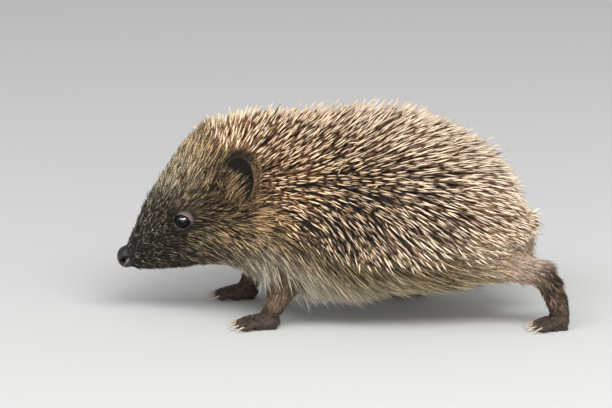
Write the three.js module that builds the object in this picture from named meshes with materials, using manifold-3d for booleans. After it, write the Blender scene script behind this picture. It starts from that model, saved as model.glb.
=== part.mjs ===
// A young European hedgehog in mid-stride, life size, as separate named solids.
// Millimetres, +Z up, the nose towards -X and the animal's left side towards -Y.
// The solids' surfaces lie at the tips of the spines and fur; soles and toe pads are flat on z = 0.
import * as THREE from "three";
import { mergeVertices } from "three/addons/utils/BufferGeometryUtils.js";
import Module from "manifold-3d";

const wasm = await Module();
wasm.setup();

// ---- driving dimensions ----
const GAP = 0.3; // between neighbouring pieces
const LEFT = -1; // the sign of y on the animal's left side
const RIGHT = 1;

// Ribs of the body from nose to rump. Each runs from a keel point to a ridge point [x, z] and is
// `half` wide to each side; `level` is how far up the rib the widest place lies.
const BODY_RIBS = [
  { keel: [-93.5, 21.0], ridge: [-95.5, 28.5], half: 3.6, level: 0.5 },
  { keel: [-90.5, 20.0], ridge: [-94.0, 31.5], half: 5.4, level: 0.48 },
  { keel: [-84.0, 19.8], ridge: [-90.3, 39.5], half: 7.8, level: 0.45 },
  { keel: [-75.5, 20.3], ridge: [-86.0, 50.5], half: 10.3, level: 0.44 },
  { keel: [-66.5, 21.2], ridge: [-79.5, 61.0], half: 13.4, level: 0.44 },
  { keel: [-57.5, 21.8], ridge: [-72.5, 72.0], half: 17.7, level: 0.44 },
  { keel: [-48.5, 21.5], ridge: [-65.0, 81.5], half: 23.4, level: 0.44 },
  { keel: [-40.0, 18.5], ridge: [-55.5, 89.5], half: 28.6, level: 0.43 },
  { keel: [-31.0, 14.5], ridge: [-42.0, 91.5], half: 33.6, level: 0.42 },
  { keel: [-18.0, 12.0], ridge: [-21.0, 92.0], half: 38.8, level: 0.42 },
  { keel: [0.0, 10.5], ridge: [0.0, 93.5], half: 43.0, level: 0.42 },
  { keel: [20.0, 10.0], ridge: [20.5, 93.5], half: 45.0, level: 0.43 },
  { keel: [40.0, 11.0], ridge: [41.5, 87.5], half: 43.5, level: 0.44 },
  { keel: [57.0, 13.5], ridge: [58.5, 78.5], half: 38.5, level: 0.46 },
  { keel: [69.0, 17.0], ridge: [71.0, 66.0], half: 31.0, level: 0.48 },
  { keel: [76.5, 21.0], ridge: [78.5, 55.0], half: 22.0, level: 0.5 },
  { keel: [81.0, 27.0], ridge: [82.6, 43.0], half: 9.0, level: 0.5 },
];
const BODY_STEPS = 30;
const BODY_AROUND = 22;
const SECTION_POWER = 2.15; // 2 is an ellipse, more is squarer
const HEAD_END = 8.1; // ribs, counted from the nose, where the head and the neck end
const NECK_END = 8.8;

// The lower border of the spines along the flank, [x, z], and how deep the jaw is cut.
const MANTLE_BORDER = [
  [-40, 62], [-25, 53], [-10, 45], [8, 36.5], [25, 32.5], [46, 32], [68, 31.5], [90, 29],
];
const MOUTH_LINE = [[-100, 22.2], [-90, 22.6], [-82, 23.4], [-74, 24.6], [-70, 22], [-68, 10]];

const NOSE = { centre: [-94.6, 0, 25.2], radii: [4.0, 4.4, 4.9], nostril: 1.25 };
const EYE = { centre: [-69.0, 13.0, 44.8], radius: 3.6, socket: [4.7, 2.6, 4.0], socketDepth: 2.4 };
const EAR = {
  centre: [-44.5, 29.5, 66.5],
  radii: [9.0, 4.2, 11.4], // across, through and up
  hollow: [7.4, 4.0, 9.6],
  hollowShift: [-0.9, 2.4, -0.8], // forward is negative, then outward and up
  turn: 32, // degrees that the open side turns forward from facing outward
  lean: 14, // degrees that the tip leans back
};
const TAIL = { path: [[70, 0, 30], [78.5, 0, 23.5], [84, 0, 18]], radii: [4.2, 3.2, 1.4] };

// Limbs: a path of points [x, y outward, z] from inside the trunk down to the wrist or hock, and
// the radius at each point.
const LIMBS = {
  foreleg_left: { side: LEFT, path: [[-28, 18, 34], [-25, 21, 21], [-30, 22.5, 10], [-33, 22, 4.5]],
    radii: [9, 8, 5.2, 4.4] },
  foreleg_right: { side: RIGHT, path: [[-30, 18, 34], [-33, 21, 20], [-40, 22.5, 10], [-43, 22, 4.5]],
    radii: [9, 8, 5.2, 4.4] },
  hindleg_left: { side: LEFT, path: [[48, 19, 35], [62, 22, 30.5], [75, 24.5, 27.2], [85.4, 24.5, 25.8],
    [89.2, 24, 16], [91.7, 24, 7]], radii: [10, 8.2, 6.3, 5.4, 4.7, 4.5] },
  hindleg_right: { side: RIGHT, path: [[32, 18, 36], [26, 23, 24], [30, 26.5, 12], [33, 26, 6]],
    radii: [12, 10, 7, 5] },
};

// Paws: the sole's middle [x, y outward], its half length and half width, the height of the paw,
// the heading in degrees off straight ahead (outward is positive) and the length of the middle toe.
const FOREPAW = { half: [7.2, 5.6], height: 7.4, heading: 8, toe: 7.6 };
const HINDFOOT = { half: [12.2, 5.4], height: 8.8, heading: 10, toe: 8.2 };
const RAISED_HINDFOOT = { half: [5.2, 5.4], height: 8.4, heading: 6, toe: 8.2 }; // the heel is up
const PAWS = {
  forepaw_left: { limb: "foreleg_left", at: [-34.5, 22], ...FOREPAW },
  forepaw_right: { limb: "foreleg_right", at: [-44.5, 22], ...FOREPAW },
  hindfoot_left: { limb: "hindleg_left", at: [90.8, 24], ...RAISED_HINDFOOT },
  hindfoot_right: { limb: "hindleg_right", at: [26, 26.5], ...HINDFOOT },
};
const TOES = 5;
const TOE_FAN = 46; // degrees between the outermost toes
const TOE_SHARE = [0.7, 0.93, 1, 0.93, 0.72]; // each toe's length against the middle one
const TOE_RADIUS = 1.75;
const CLAW = { length: 5.0, base: 0.85, tip: 0.3, overlap: 1.2 };
const SOLE_DIP = 0.45; // how far pads dip under z = 0 before they are cut flat

const COLOURS = {
  spines: 0x9c8365, face: 0x6b5f4b, fur: 0x8c7c5e, leg: 0x7e6c57,
  skin: 0x40372d, nose: 0x1c1a1a, eye: 0x0b0a0a, claw: 0x6e6358,
};
const ROUGHNESS = {
  spines: 0.6, face: 0.85, fur: 0.9, leg: 0.9, skin: 0.8, nose: 0.35, eye: 0.08, claw: 0.5,
};

// ---- from three.js geometry to solids and back ----
function solidOf(geometry) {
  const bare = new THREE.BufferGeometry().setAttribute("position", geometry.getAttribute("position"));
  if (geometry.index) bare.setIndex(geometry.index);
  const merged = mergeVertices(bare, 1e-4);
  const mesh = new wasm.Mesh({
    numProp: 3,
    vertProperties: merged.attributes.position.array,
    triVerts: new Uint32Array(merged.index.array),
  });
  return new wasm.Manifold(mesh);
}

function geometryOf(solid) {
  const mesh = solid.getMesh();
  return new THREE.BufferGeometry()
    .setAttribute("position", new THREE.BufferAttribute(new Float32Array(mesh.vertProperties), 3))
    .setIndex(new THREE.BufferAttribute(mesh.triVerts, 1));
}

const largest = (solid) => solid.decompose().sort((a, b) => b.volume() - a.volume())[0];
const all = (solids) => solids.reduce((whole, next) => whole.add(next));

// ---- lofts ----
// A closed surface over rings. ringAt(t), t from 0 to 1, gives the ring's centre, its unit vectors
// side and up, its half width and its reach above (rise) and below (drop) the centre.
function loft(ringAt, steps, around, power = 2) {
  const positions = [];
  const index = [];
  const bend = (v) => Math.sign(v) * Math.abs(v) ** (2 / power);
  for (let i = 0; i <= steps; i++) {
    const ring = ringAt(i / steps);
    for (let j = 0; j < around; j++) {
      const angle = (2 * Math.PI * j) / around;
      const across = ring.half * bend(Math.cos(angle));
      const height = (Math.sin(angle) > 0 ? ring.rise : ring.drop) * bend(Math.sin(angle));
      const p = ring.centre.clone().addScaledVector(ring.side, across).addScaledVector(ring.up, height);
      positions.push(p.x, p.y, p.z);
    }
  }
  for (let i = 0; i < steps; i++) {
    for (let j = 0; j < around; j++) {
      const k = (j + 1) % around;
      const [a, b, c, d] = [i * around + j, i * around + k, (i + 1) * around + k, (i + 1) * around + j];
      index.push(a, b, c, a, c, d);
    }
  }
  for (const [i, flip] of [[0, true], [steps, false]]) {
    const centre = positions.length / 3;
    const c = ringAt(i / steps).centre;
    positions.push(c.x, c.y, c.z);
    for (let j = 0; j < around; j++) {
      const [here, next] = [i * around + j, i * around + ((j + 1) % around)];
      index.push(centre, ...(flip ? [next, here] : [here, next]));
    }
  }
  return new THREE.BufferGeometry()
    .setAttribute("position", new THREE.Float32BufferAttribute(positions, 3))
    .setIndex(index);
}

const curve = (points) => new THREE.CatmullRomCurve3(points, false, "catmullrom", 0.5);

// The whole body from nose to rump, grown outward by `grow`.
const keelCurve = curve(BODY_RIBS.map((rib) => new THREE.Vector3(rib.keel[0], 0, rib.keel[1])));
const ridgeCurve = curve(BODY_RIBS.map((rib) => new THREE.Vector3(rib.ridge[0], 0, rib.ridge[1])));
const girthCurve = curve(BODY_RIBS.map((rib) => new THREE.Vector3(rib.half, rib.level, 0)));

function body(grow) {
  const ringAt = (t) => {
    const keel = keelCurve.getPoint(t);
    const up = ridgeCurve.getPoint(t).sub(keel);
    const girth = girthCurve.getPoint(t);
    const height = up.length();
    return {
      centre: keel.addScaledVector(up, girth.y),
      side: new THREE.Vector3(0, 1, 0),
      up: up.normalize(),
      half: girth.x + grow,
      rise: height * (1 - girth.y) + grow,
      drop: height * girth.y + grow,
    };
  };
  return solidOf(loft(ringAt, BODY_STEPS, BODY_AROUND, SECTION_POWER));
}

// A round-ended tube along a path of [x, y, z], with a radius at each point.
function tube(path, radii, { grow = 0, steps = 10, around = 10 } = {}) {
  const line = curve(path.map((p) => new THREE.Vector3(...p)));
  const width = curve(radii.map((r) => new THREE.Vector3(r, 0, 0)));
  const first = line.getTangent(0);
  const last = line.getTangent(1);
  const CAP = 0.18; // share of the steps that round off each end
  const ringAt = (t) => {
    const inner = THREE.MathUtils.clamp((t - CAP) / (1 - 2 * CAP), 0, 1);
    const beyond = t < CAP ? (t - CAP) / CAP : Math.max(0, (t - 1 + CAP) / CAP);
    const tangent = line.getTangent(inner);
    const radius = width.getPoint(inner).x + grow;
    const centre = line.getPoint(inner);
    centre.addScaledVector(beyond < 0 ? first : last, radius * Math.sin((beyond * Math.PI) / 2));
    const round = Math.max(0.12, Math.cos((beyond * Math.PI) / 2));
    const side = new THREE.Vector3(0, 1, 0).addScaledVector(tangent, -tangent.y).normalize();
    const up = tangent.clone().cross(side);
    return { centre, side, up, half: radius * round, rise: radius * round, drop: radius * round };
  };
  return solidOf(loft(ringAt, steps, around));
}

// An ellipsoid with a turn about Z after a lean about its own Y axis, both in degrees.
function ellipsoid(centre, radii, { turn = 0, lean = 0, around = 16, down = 10 } = {}) {
  const shape = new THREE.SphereGeometry(1, around, down);
  shape.deleteAttribute("normal");
  shape.deleteAttribute("uv");
  shape.scale(...radii);
  shape.rotateY(THREE.MathUtils.degToRad(lean));
  shape.rotateZ(THREE.MathUtils.degToRad(turn));
  shape.translate(...centre);
  return solidOf(shape);
}

// ---- cuts ----
// A thin slab along the body's rib number `rib`, across the whole body.
function ribSlab(rib) {
  const t = rib / (BODY_RIBS.length - 1);
  const keel = keelCurve.getPoint(t);
  const ridge = ridgeCurve.getPoint(t);
  const lean = Math.atan2(ridge.x - keel.x, ridge.z - keel.z);
  const slab = new THREE.BoxGeometry(GAP, 140, 200);
  slab.rotateY(lean);
  slab.translate((keel.x + ridge.x) / 2, 0, (keel.z + ridge.z) / 2);
  return solidOf(slab);
}

// A thin curtain that follows a line of [x, z] points and runs across the whole body.
function curtain(points) {
  const line = new THREE.SplineCurve(points.map(([x, z]) => new THREE.Vector2(x, z))).getPoints(12);
  const shape = new THREE.Shape(line);
  for (const p of line.reverse()) shape.lineTo(p.x + GAP / 3, p.y + GAP);
  const sheet = new THREE.ExtrudeGeometry(shape, { depth: 140, bevelEnabled: false });
  sheet.rotateX(Math.PI / 2);
  sheet.translate(0, 70, 0);
  return solidOf(sheet);
}

const sideways = (side, [x, y, z]) => [x, side * y, z];

// ---- head ----
function nostrils(grow) {
  return all([LEFT, RIGHT].map((side) => ellipsoid(
    sideways(side, [NOSE.centre[0] - 1.2, NOSE.radii[1] * 0.78, NOSE.centre[2] - 0.6]),
    [NOSE.nostril + grow, 1.5 + grow, 2 + grow], { turn: side * 30, lean: 20, around: 6, down: 5 })));
}

const noseButton = (grow) => ellipsoid(NOSE.centre, NOSE.radii.map((r) => r + grow),
  { lean: -14, around: 12, down: 8 });
const eyeball = (side, grow) => ellipsoid(sideways(side, EYE.centre), Array(3).fill(EYE.radius + grow),
  { around: 12, down: 8 });

function eyeSocket(side) {
  const [x, y, z] = EYE.centre;
  return ellipsoid([x, side * (y + EYE.radius + EYE.socket[1] - EYE.socketDepth), z], EYE.socket,
    { around: 12, down: 6 });
}

const earOuter = (side) => ellipsoid(sideways(side, EAR.centre), EAR.radii,
  { turn: side * EAR.turn, lean: EAR.lean, around: 12, down: 7 });

function earHollow(side) {
  const shift = new THREE.Vector3(EAR.hollowShift[0], side * EAR.hollowShift[1], EAR.hollowShift[2])
    .applyAxisAngle(new THREE.Vector3(0, 0, 1), THREE.MathUtils.degToRad(side * EAR.turn));
  const centre = new THREE.Vector3(...sideways(side, EAR.centre)).add(shift);
  return ellipsoid(centre.toArray(), EAR.hollow,
    { turn: side * EAR.turn, lean: EAR.lean, around: 10, down: 6 });
}

// ---- paws ----
const floorBox = new THREE.BoxGeometry(400, 400, 40);
floorBox.translate(0, 0, -20);
const underFloor = solidOf(floorBox);

// Where toe number i of a paw starts and which way it points.
function toeLine(paw, side, i) {
  const spread = THREE.MathUtils.degToRad((i / (TOES - 1) - 0.5) * TOE_FAN + paw.heading);
  const ahead = new THREE.Vector3(-Math.cos(spread), side * Math.sin(spread), 0);
  const across = ((i / (TOES - 1)) * 2 - 1) * (paw.half[1] - TOE_RADIUS * 0.9);
  const heading = THREE.MathUtils.degToRad(paw.heading);
  const root = new THREE.Vector3(paw.at[0], side * paw.at[1], 0)
    .add(new THREE.Vector3(-Math.cos(heading), side * Math.sin(heading), 0)
      .multiplyScalar(paw.half[0] - 2.2))
    .add(new THREE.Vector3(Math.sin(heading), side * Math.cos(heading), 0).multiplyScalar(across));
  return { root, ahead, length: paw.toe * TOE_SHARE[i] };
}

function palm(paw, side, grow) {
  const centre = [paw.at[0], side * paw.at[1], paw.height / 2 - SOLE_DIP];
  return ellipsoid(centre, [paw.half[0] + grow, paw.half[1] + grow, paw.height / 2 + grow],
    { turn: -side * paw.heading, around: 10, down: 6 });
}

function toe(paw, side, i) {
  const { root, ahead, length } = toeLine(paw, side, i);
  const at = (share, z) => [root.x + ahead.x * length * share, root.y + ahead.y * length * share, z];
  return tube([at(0, 2.6), at(0.5, 2.5), at(0.86, TOE_RADIUS - SOLE_DIP)],
    [TOE_RADIUS, TOE_RADIUS * 0.92, TOE_RADIUS], { steps: 4, around: 6 });
}

function claw(paw, side, i, grow) {
  const { root, ahead, length } = toeLine(paw, side, i);
  const at = (past, z) => [root.x + ahead.x * (length + past), root.y + ahead.y * (length + past), z];
  const start = -CLAW.overlap - grow;
  return tube([at(start, 2.3), at(CLAW.length * 0.4, 2.2), at(CLAW.length * 0.75, 1.0)],
    [CLAW.base, CLAW.base * 0.75, CLAW.tip], { grow, steps: 3, around: 5 });
}

// ---- assembly ----
const nodes = new Map(); // node name -> [solid, finish]

const grownBody = body(GAP);
const limbTube = (limb, grow) => tube(limb.path.map((p) => sideways(limb.side, p)), limb.radii,
  { grow, steps: 11, around: 9 });

for (const [name, paw] of Object.entries(PAWS)) {
  const limb = LIMBS[paw.limb];
  const toes = Array.from({ length: TOES }, (_, i) => i);
  const sleeves = all(toes.map((i) => claw(paw, limb.side, i, GAP)));
  const foot = all([palm(paw, limb.side, 0), ...toes.map((i) => toe(paw, limb.side, i))]);
  nodes.set(name, [largest(foot.subtract(sleeves).subtract(underFloor)), "skin"]);
  for (const i of toes) nodes.set(`claw_${name}_${i + 1}`, [claw(paw, limb.side, i, 0), "claw"]);
  const toesGrown = all(toes.map((i) => toe(paw, limb.side, i)));
  const leg = limbTube(limb, 0).subtract(palm(paw, limb.side, GAP)).subtract(toesGrown);
  nodes.set(paw.limb, [largest(leg.subtract(grownBody).subtract(underFloor)), "leg"]);
}

const ears = [LEFT, RIGHT].map((side) => earOuter(side).subtract(earHollow(side)));
nodes.set("ear_left", [largest(ears[0].subtract(grownBody)), "skin"]);
nodes.set("ear_right", [largest(ears[1].subtract(grownBody)), "skin"]);
nodes.set("eye_left", [eyeball(LEFT, 0), "eye"]);
nodes.set("eye_right", [eyeball(RIGHT, 0), "eye"]);
nodes.set("nose", [largest(noseButton(0).subtract(nostrils(0))), "nose"]);
const tail = tube(TAIL.path, TAIL.radii, { steps: 9, around: 8 }).subtract(grownBody);
nodes.set("tail", [largest(tail), "skin"]);

// The body with room for the nose and eyes and with the hollows of the ears, then cut into lengths.
const openings = all([noseButton(GAP), ...[LEFT, RIGHT].flatMap((side) =>
  [eyeball(side, GAP), eyeSocket(side), earHollow(side)])]);
const lengths = body(0).subtract(openings).subtract(ribSlab(HEAD_END)).subtract(ribSlab(NECK_END))
  .decompose()
  .sort((a, b) => a.boundingBox().min[0] - b.boundingBox().min[0]);
const [wholeHead, neck, trunk] = lengths;
const byHeight = (solid) => solid.decompose()
  .sort((a, b) => b.boundingBox().max[2] - a.boundingBox().max[2]);
const [head, jaw] = byHeight(wholeHead.subtract(curtain(MOUTH_LINE)));
const [back, underside] = byHeight(trunk.subtract(curtain(MANTLE_BORDER)));
nodes.set("head", [head, "face"]);
nodes.set("jaw", [jaw, "face"]);
nodes.set("neck", [neck, "fur"]);
nodes.set("back", [back, "spines"]);
nodes.set("underside", [underside, "fur"]);

const hedgehog = new THREE.Group();
for (const [name, [solid, finish]] of nodes) {
  const material = new THREE.MeshStandardMaterial({
    color: COLOURS[finish], roughness: ROUGHNESS[finish], metalness: 0,
  });
  const mesh = new THREE.Mesh(geometryOf(solid), material);
  mesh.name = name;
  hedgehog.add(mesh);
}

// The origin is under the middle of the whole animal's box.
const box = new THREE.Box3().setFromObject(hedgehog);
const middle = box.getCenter(new THREE.Vector3());
hedgehog.position.set(-middle.x, -middle.y, 0);

export default hedgehog;
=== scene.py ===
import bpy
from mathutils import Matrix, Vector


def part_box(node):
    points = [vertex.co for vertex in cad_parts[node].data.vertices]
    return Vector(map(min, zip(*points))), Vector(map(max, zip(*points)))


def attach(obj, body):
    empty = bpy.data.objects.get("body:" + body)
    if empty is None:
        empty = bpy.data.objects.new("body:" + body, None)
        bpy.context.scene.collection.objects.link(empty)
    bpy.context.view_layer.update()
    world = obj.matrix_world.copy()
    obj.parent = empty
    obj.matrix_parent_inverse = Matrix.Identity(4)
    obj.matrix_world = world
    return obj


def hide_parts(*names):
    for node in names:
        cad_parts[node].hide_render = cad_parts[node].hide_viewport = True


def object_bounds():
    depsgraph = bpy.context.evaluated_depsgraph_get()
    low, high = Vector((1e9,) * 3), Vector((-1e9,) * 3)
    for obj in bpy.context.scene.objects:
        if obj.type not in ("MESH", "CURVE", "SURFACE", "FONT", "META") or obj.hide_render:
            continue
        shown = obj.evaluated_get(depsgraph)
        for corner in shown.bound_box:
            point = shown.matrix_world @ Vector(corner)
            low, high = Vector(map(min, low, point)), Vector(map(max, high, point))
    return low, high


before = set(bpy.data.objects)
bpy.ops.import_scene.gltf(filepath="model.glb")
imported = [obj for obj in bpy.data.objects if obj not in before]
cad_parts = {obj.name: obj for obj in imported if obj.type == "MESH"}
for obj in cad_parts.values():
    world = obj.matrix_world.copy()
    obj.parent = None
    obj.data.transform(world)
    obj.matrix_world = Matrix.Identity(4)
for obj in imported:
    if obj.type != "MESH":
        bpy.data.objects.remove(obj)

# A young European hedgehog in mid-stride. One skin replaces the CAD solids of flesh, and spines,
# fur and whiskers stand on it as joined meshes. Lengths are in millimetres until a mesh is made.
import copy
import math
from types import SimpleNamespace

import bpy
import numpy as np
from mathutils import Vector
from mathutils.bvhtree import BVHTree
from mathutils.kdtree import KDTree

CAD_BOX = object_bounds()
MM = 0.001
FAR = 400.0  # further than any part of the animal
FLOOR_GAP = 0.05  # between the floor and the lowest hair or claw


# ---- the frame's measures ----
def box(name):
    low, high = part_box(name)
    return np.array(low) / MM, np.array(high) / MM


def cad_mesh(names):
    points, faces = [], []
    for name in names:
        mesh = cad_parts[name].data
        first = len(points)
        points += [v.co / MM for v in mesh.vertices]
        faces += [[first + i for i in p.vertices] for p in mesh.polygons]
    return points, faces


BODY_NODES = ["head", "jaw", "neck", "back", "underside", "nose"]
LIMB_NODES = ["foreleg", "forepaw", "hindleg", "hindfoot"]
SIDES = {"left": -1, "right": 1}
PAWS = ["forepaw_left", "forepaw_right", "hindfoot_left", "hindfoot_right"]
FLESH = BODY_NODES + ["tail"] + [f"{n}_{s}" for n in LIMB_NODES + ["ear"] for s in SIDES]
TOES = range(1, 6)

EYE = (box("eye_right")[0] + box("eye_right")[1]) / 2  # on the +Y side; both sides mirror it
EYE_RADIUS = (box("eye_right")[1] - box("eye_right")[0])[1] / 2
NOSE = (box("nose")[0] + box("nose")[1]) / 2
EAR_LOW, EAR_HIGH = box("ear_right")
EAR_DEEP = 5.9  # from the ear's outermost point in to its middle
EAR = np.array([(EAR_LOW[0] + EAR_HIGH[0]) / 2, EAR_HIGH[1] - EAR_DEEP, (EAR_LOW[2] + EAR_HIGH[2]) / 2])
EAR_TURN, EAR_LEAN = math.radians(32), math.radians(14)  # open forward of sideways, tip back


# ---- the lie of the coat ----
# Rows of places on the flank, x and z, then the lie seen from the side in degrees
# (0 is straight back, 90 up), the lift off the skin in degrees and the length of hair or spine.
SPINE_LIE = np.array([
    (-55, 87, 90, 62, 12), (-44, 88, 82, 62, 13), (-32, 88, 78, 62, 13.5), (-16, 88, 74, 61, 14),
    (-2, 90, 71, 60, 14.5), (12, 91, 67, 58, 15), (28, 91, 58, 54, 16), (42, 87, 44, 50, 16.5),
    (56, 80, 20, 46, 17), (68, 70, 10, 48, 16.5), (76, 61, 0, 52, 15.5), (80, 48, -8, 54, 14.5),
    (-37, 80, 63, 47, 13), (-20, 81, 56, 46, 14.5), (-4, 82, 45, 43, 15.5), (14, 83, 35, 40, 16.5),
    (32, 80, 14, 37, 17), (-28, 72, 6, 31, 13), (-10, 74, 0, 32, 15), (10, 75, -2, 32, 16),
    (30, 72, -8, 32, 16.5), (48, 72, -2, 33, 16.5), (62, 66, -5, 38, 16), (-31, 65, -2, 26, 11),
    (-15, 64, -18, 28, 13), (3, 65, -20, 30, 15), (20, 64, -28, 30, 16), (40, 62, -25, 30, 16),
    (57, 60, -20, 33, 16), (70, 55, -16, 42, 15.5), (-21, 56, -32, 26, 12), (-5, 55, -54, 27, 14),
    (12, 52, -52, 28, 15), (32, 52, -42, 28, 16), (52, 50, -35, 29, 16), (68, 46, -24, 38, 14.5),
    (-6, 44, -58, 25, 13), (14, 40, -54, 25, 14), (34, 38, -46, 25, 14), (56, 38, -34, 28, 14),
    (72, 38, -20, 36, 13),
])
FUR_LIE = np.array([
    (-92, 29, 20, 25, 1.3), (-89, 36, 62, 34, 3.2), (-84, 33, 30, 24, 2.8), (-83, 46, 63, 32, 4.6),
    (-82, 28, 0, 26, 3.4), (-78, 53, 58, 28, 5.2), (-78, 31, -8, 24, 3.6), (-73, 41, 18, 22, 3.6),
    (-69, 57, 46, 20, 5.4), (-68, 50, 32, 18, 2.8), (-68, 38, 2, 18, 3.2), (-73, 65, 60, 20, 8.5),
    (-69, 67, 62, 20, 9.0), (-63, 76, 68, 24, 11.0), (-58, 82, 76, 32, 12.0), (-60, 65, 58, 20, 9.5),
    (-60, 49, 20, 16, 6.0), (-61, 37, -8, 20, 7.0), (-63, 31, -22, 22, 6.5), (-56, 33, -26, 24, 9.0),
    (-56, 48, 16, 18, 8.0), (-52, 41, 4, 20, 10.0), (-50, 66, 54, 20, 9.5), (-52, 53, 30, 18, 9.0),
    (-48, 40, -8, 22, 11.0), (-43, 62, 58, 20, 8.0), (-43, 54, 38, 20, 10.0), (-43, 45, 2, 22, 11.0),
    (-39, 59, 42, 22, 10.0), (-33, 60, 5, 24, 11.0), (-32, 50, -22, 24, 13.0), (-46, 29, -86, 30, 15.0),
    (-38, 32, -84, 26, 18.0), (-28, 30, -70, 26, 21.0), (-21, 41, -36, 24, 17.0),
    (-19, 33, -56, 24, 21.0), (-13, 28, -52, 24, 23.0), (-3, 28, -44, 22, 21.0),
    (14, 27, -34, 20, 20.0), (30, 27, -26, 20, 19.0), (48, 24, -16, 20, 17.0), (59, 28, -6, 20, 15.0),
    (69, 34, 8, 26, 12.0), (77, 34, -52, 28, 9.5), (80, 43, -56, 30, 9.5), (76, 27, -62, 26, 8.0),
    (71, 22, -8, 24, 10.0), (-10, 14, -34, 28, 17.0), (20, 12, -24, 24, 16.0), (50, 14, -14, 22, 13.0),
    (-32, 17, -62, 28, 17.0), (-52, 22, -20, 22, 6.5), (-64, 23, -8, 22, 4.4), (-80, 21, -4, 22, 2.6),
])
# The border of the spines' roots seen from the side: brow, over the ear, flank and rump.
MANTLE = np.array([
    (-60, 120), (-57, 77), (-53, 73.5), (-48, 73), (-42, 74.5), (-38.5, 71), (-39.5, 60.5), (-28, 49.5),
    (-9, 42), (12, 38.5), (34, 39.5), (58, 41), (68, 42), (76, 45), (120, 48), (120, 120),
])


def between(table, points, reach=8.0):
    """The table's columns after x and z, blended by how near each row is to each point."""
    gap = (points[:, 0, None] - table[:, 0]) ** 2 + (points[:, 2, None] - table[:, 1]) ** 2
    gap -= gap.min(axis=1, keepdims=True)
    weight = np.exp(-gap / (2 * reach**2))
    return (weight @ table[:, 2:]) / weight.sum(axis=1, keepdims=True)


def inside_mantle(points):
    """How far inside the spines' border each point lies, seen from the side, in mm."""
    x, z = points[:, 0], points[:, 2]
    nearest = np.full(len(points), FAR)
    crossings = np.zeros(len(points), int)
    for (ax, az), (bx, bz) in zip(MANTLE, np.roll(MANTLE, -1, axis=0)):
        t = np.clip(((x - ax) * (bx - ax) + (z - az) * (bz - az)) / ((bx - ax) ** 2 + (bz - az) ** 2), 0, 1)
        nearest = np.minimum(nearest, np.hypot(x - ax - t * (bx - ax), z - az - t * (bz - az)))
        if az != bz:
            crossings += ((az > z) != (bz > z)) & (x < (bx - ax) * (z - az) / (bz - az) + ax)
    return np.where(crossings % 2 == 1, nearest, -nearest)


def within_white(colour):
    """Scales down any colour that is brighter than white, keeping its hue."""
    return np.clip(colour, 0, None) * np.minimum(1, 255 / np.maximum(colour.max(axis=1, keepdims=True), 1))


def smooth_step(low, high, value):
    t = np.clip((value - low) / (high - low), 0, 1)
    return t * t * (3 - 2 * t)


def unit(vectors):
    return vectors / np.maximum(np.linalg.norm(vectors, axis=-1, keepdims=True), 1e-9)


def coat_depth(points):
    """How far the skin lies under the coat's tips."""
    spines = between(SPINE_LIE, points)
    fur = between(FUR_LIE, points)
    share = smooth_step(-5, 8, inside_mantle(points))
    spine_depth = 0.3 + spines[:, 2] * np.sin(np.radians(spines[:, 1]))
    shallow = 0.45 + 0.3 * smooth_step(-74, -55, points[:, 0])
    fur_depth = shallow * fur[:, 2] * np.sin(np.radians(fur[:, 1]))
    return share * spine_depth + (1 - share) * fur_depth


# ---- the body's outline, measured on the CAD solids ----
RINGS, RAYS = 110, 41
LATTICE_STEP, LATTICE_MARGIN = 2.0, 6.0


def measured_rings():
    """x of each ring, its centre's z, and its radius at each angle from straight down to up."""
    tree = BVHTree.FromPolygons(*cad_mesh(BODY_NODES))
    low, high = box("nose")[0][0] + 0.02, box("back")[1][0] - 0.02
    t = (np.arange(RINGS) + 0.5) / RINGS
    xs = low + (high - low) * (1 - np.cos(np.pi * t)) / 2
    angles = np.linspace(-np.pi / 2, np.pi / 2, RAYS)
    centres, radii = np.zeros(RINGS), np.zeros((RINGS, RAYS))
    aside = 0.013  # keeps a ray off the edges that lie in the middle plane
    for i, x in enumerate(xs):
        top = tree.ray_cast(Vector((x, aside, FAR)), Vector((0, 0, -1)))[0]
        bottom = tree.ray_cast(Vector((x, aside, -FAR)), Vector((0, 0, 1)))[0]
        centres[i] = (top.z + bottom.z) / 2
        for j, angle in enumerate(angles):
            out = Vector((0, math.cos(angle), math.sin(angle)))
            distance = tree.ray_cast(Vector((x, aside, centres[i])) + out * FAR, -out)[3]
            radii[i, j] = FAR - distance
    # Dents such as the ears' hollows are filled: the section's convex outline.
    toward = np.linspace(-np.pi / 2, np.pi / 2, 91)
    turn = np.cos(angles[:, None] - toward[None, :])
    reach = (radii[:, :, None] * turn[None]).max(axis=1)
    turn = np.where(turn > 0.08, turn, np.nan)
    radii = np.nanmin(reach[:, None, :] / turn[None], axis=2)
    for _ in range(3):
        radii[1:-1] = (radii[:-2] + 2 * radii[1:-1] + radii[2:]) / 4
        radii[:, 1:-1] = (radii[:, :-2] + 2 * radii[:, 1:-1] + radii[:, 2:]) / 4
        centres[1:-1] = (centres[:-2] + 2 * centres[1:-1] + centres[2:]) / 4
    return xs, centres, angles, radii


def ring_tree(xs, centres, angles, radii):
    """A closed surface through the rings, for finding distances."""
    half = [np.stack([xs, radii[:, j] * math.cos(a), centres + radii[:, j] * math.sin(a)], axis=1)
            for j, a in enumerate(angles)]
    other_half = [p * (1, -1, 1) for p in half[-2:0:-1]]
    ring = np.stack(half + other_half, axis=1)
    count, around = ring.shape[:2]
    points = [Vector(p) for p in ring.reshape(-1, 3)]
    faces = []
    for i in range(count - 1):
        for j in range(around):
            k = (j + 1) % around
            faces.append((i * around + j, i * around + k, (i + 1) * around + k, (i + 1) * around + j))
    for i, x, flip in ((0, xs[0] - 0.02, True), (count - 1, xs[-1] + 0.02, False)):
        tip = len(points)
        points.append(Vector((x, 0, centres[i])))
        for j in range(around):
            pair = (i * around + j, i * around + (j + 1) % around)
            faces.append((tip, *(pair[::-1] if flip else pair)))
    return BVHTree.FromPolygons(points, faces)


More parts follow.
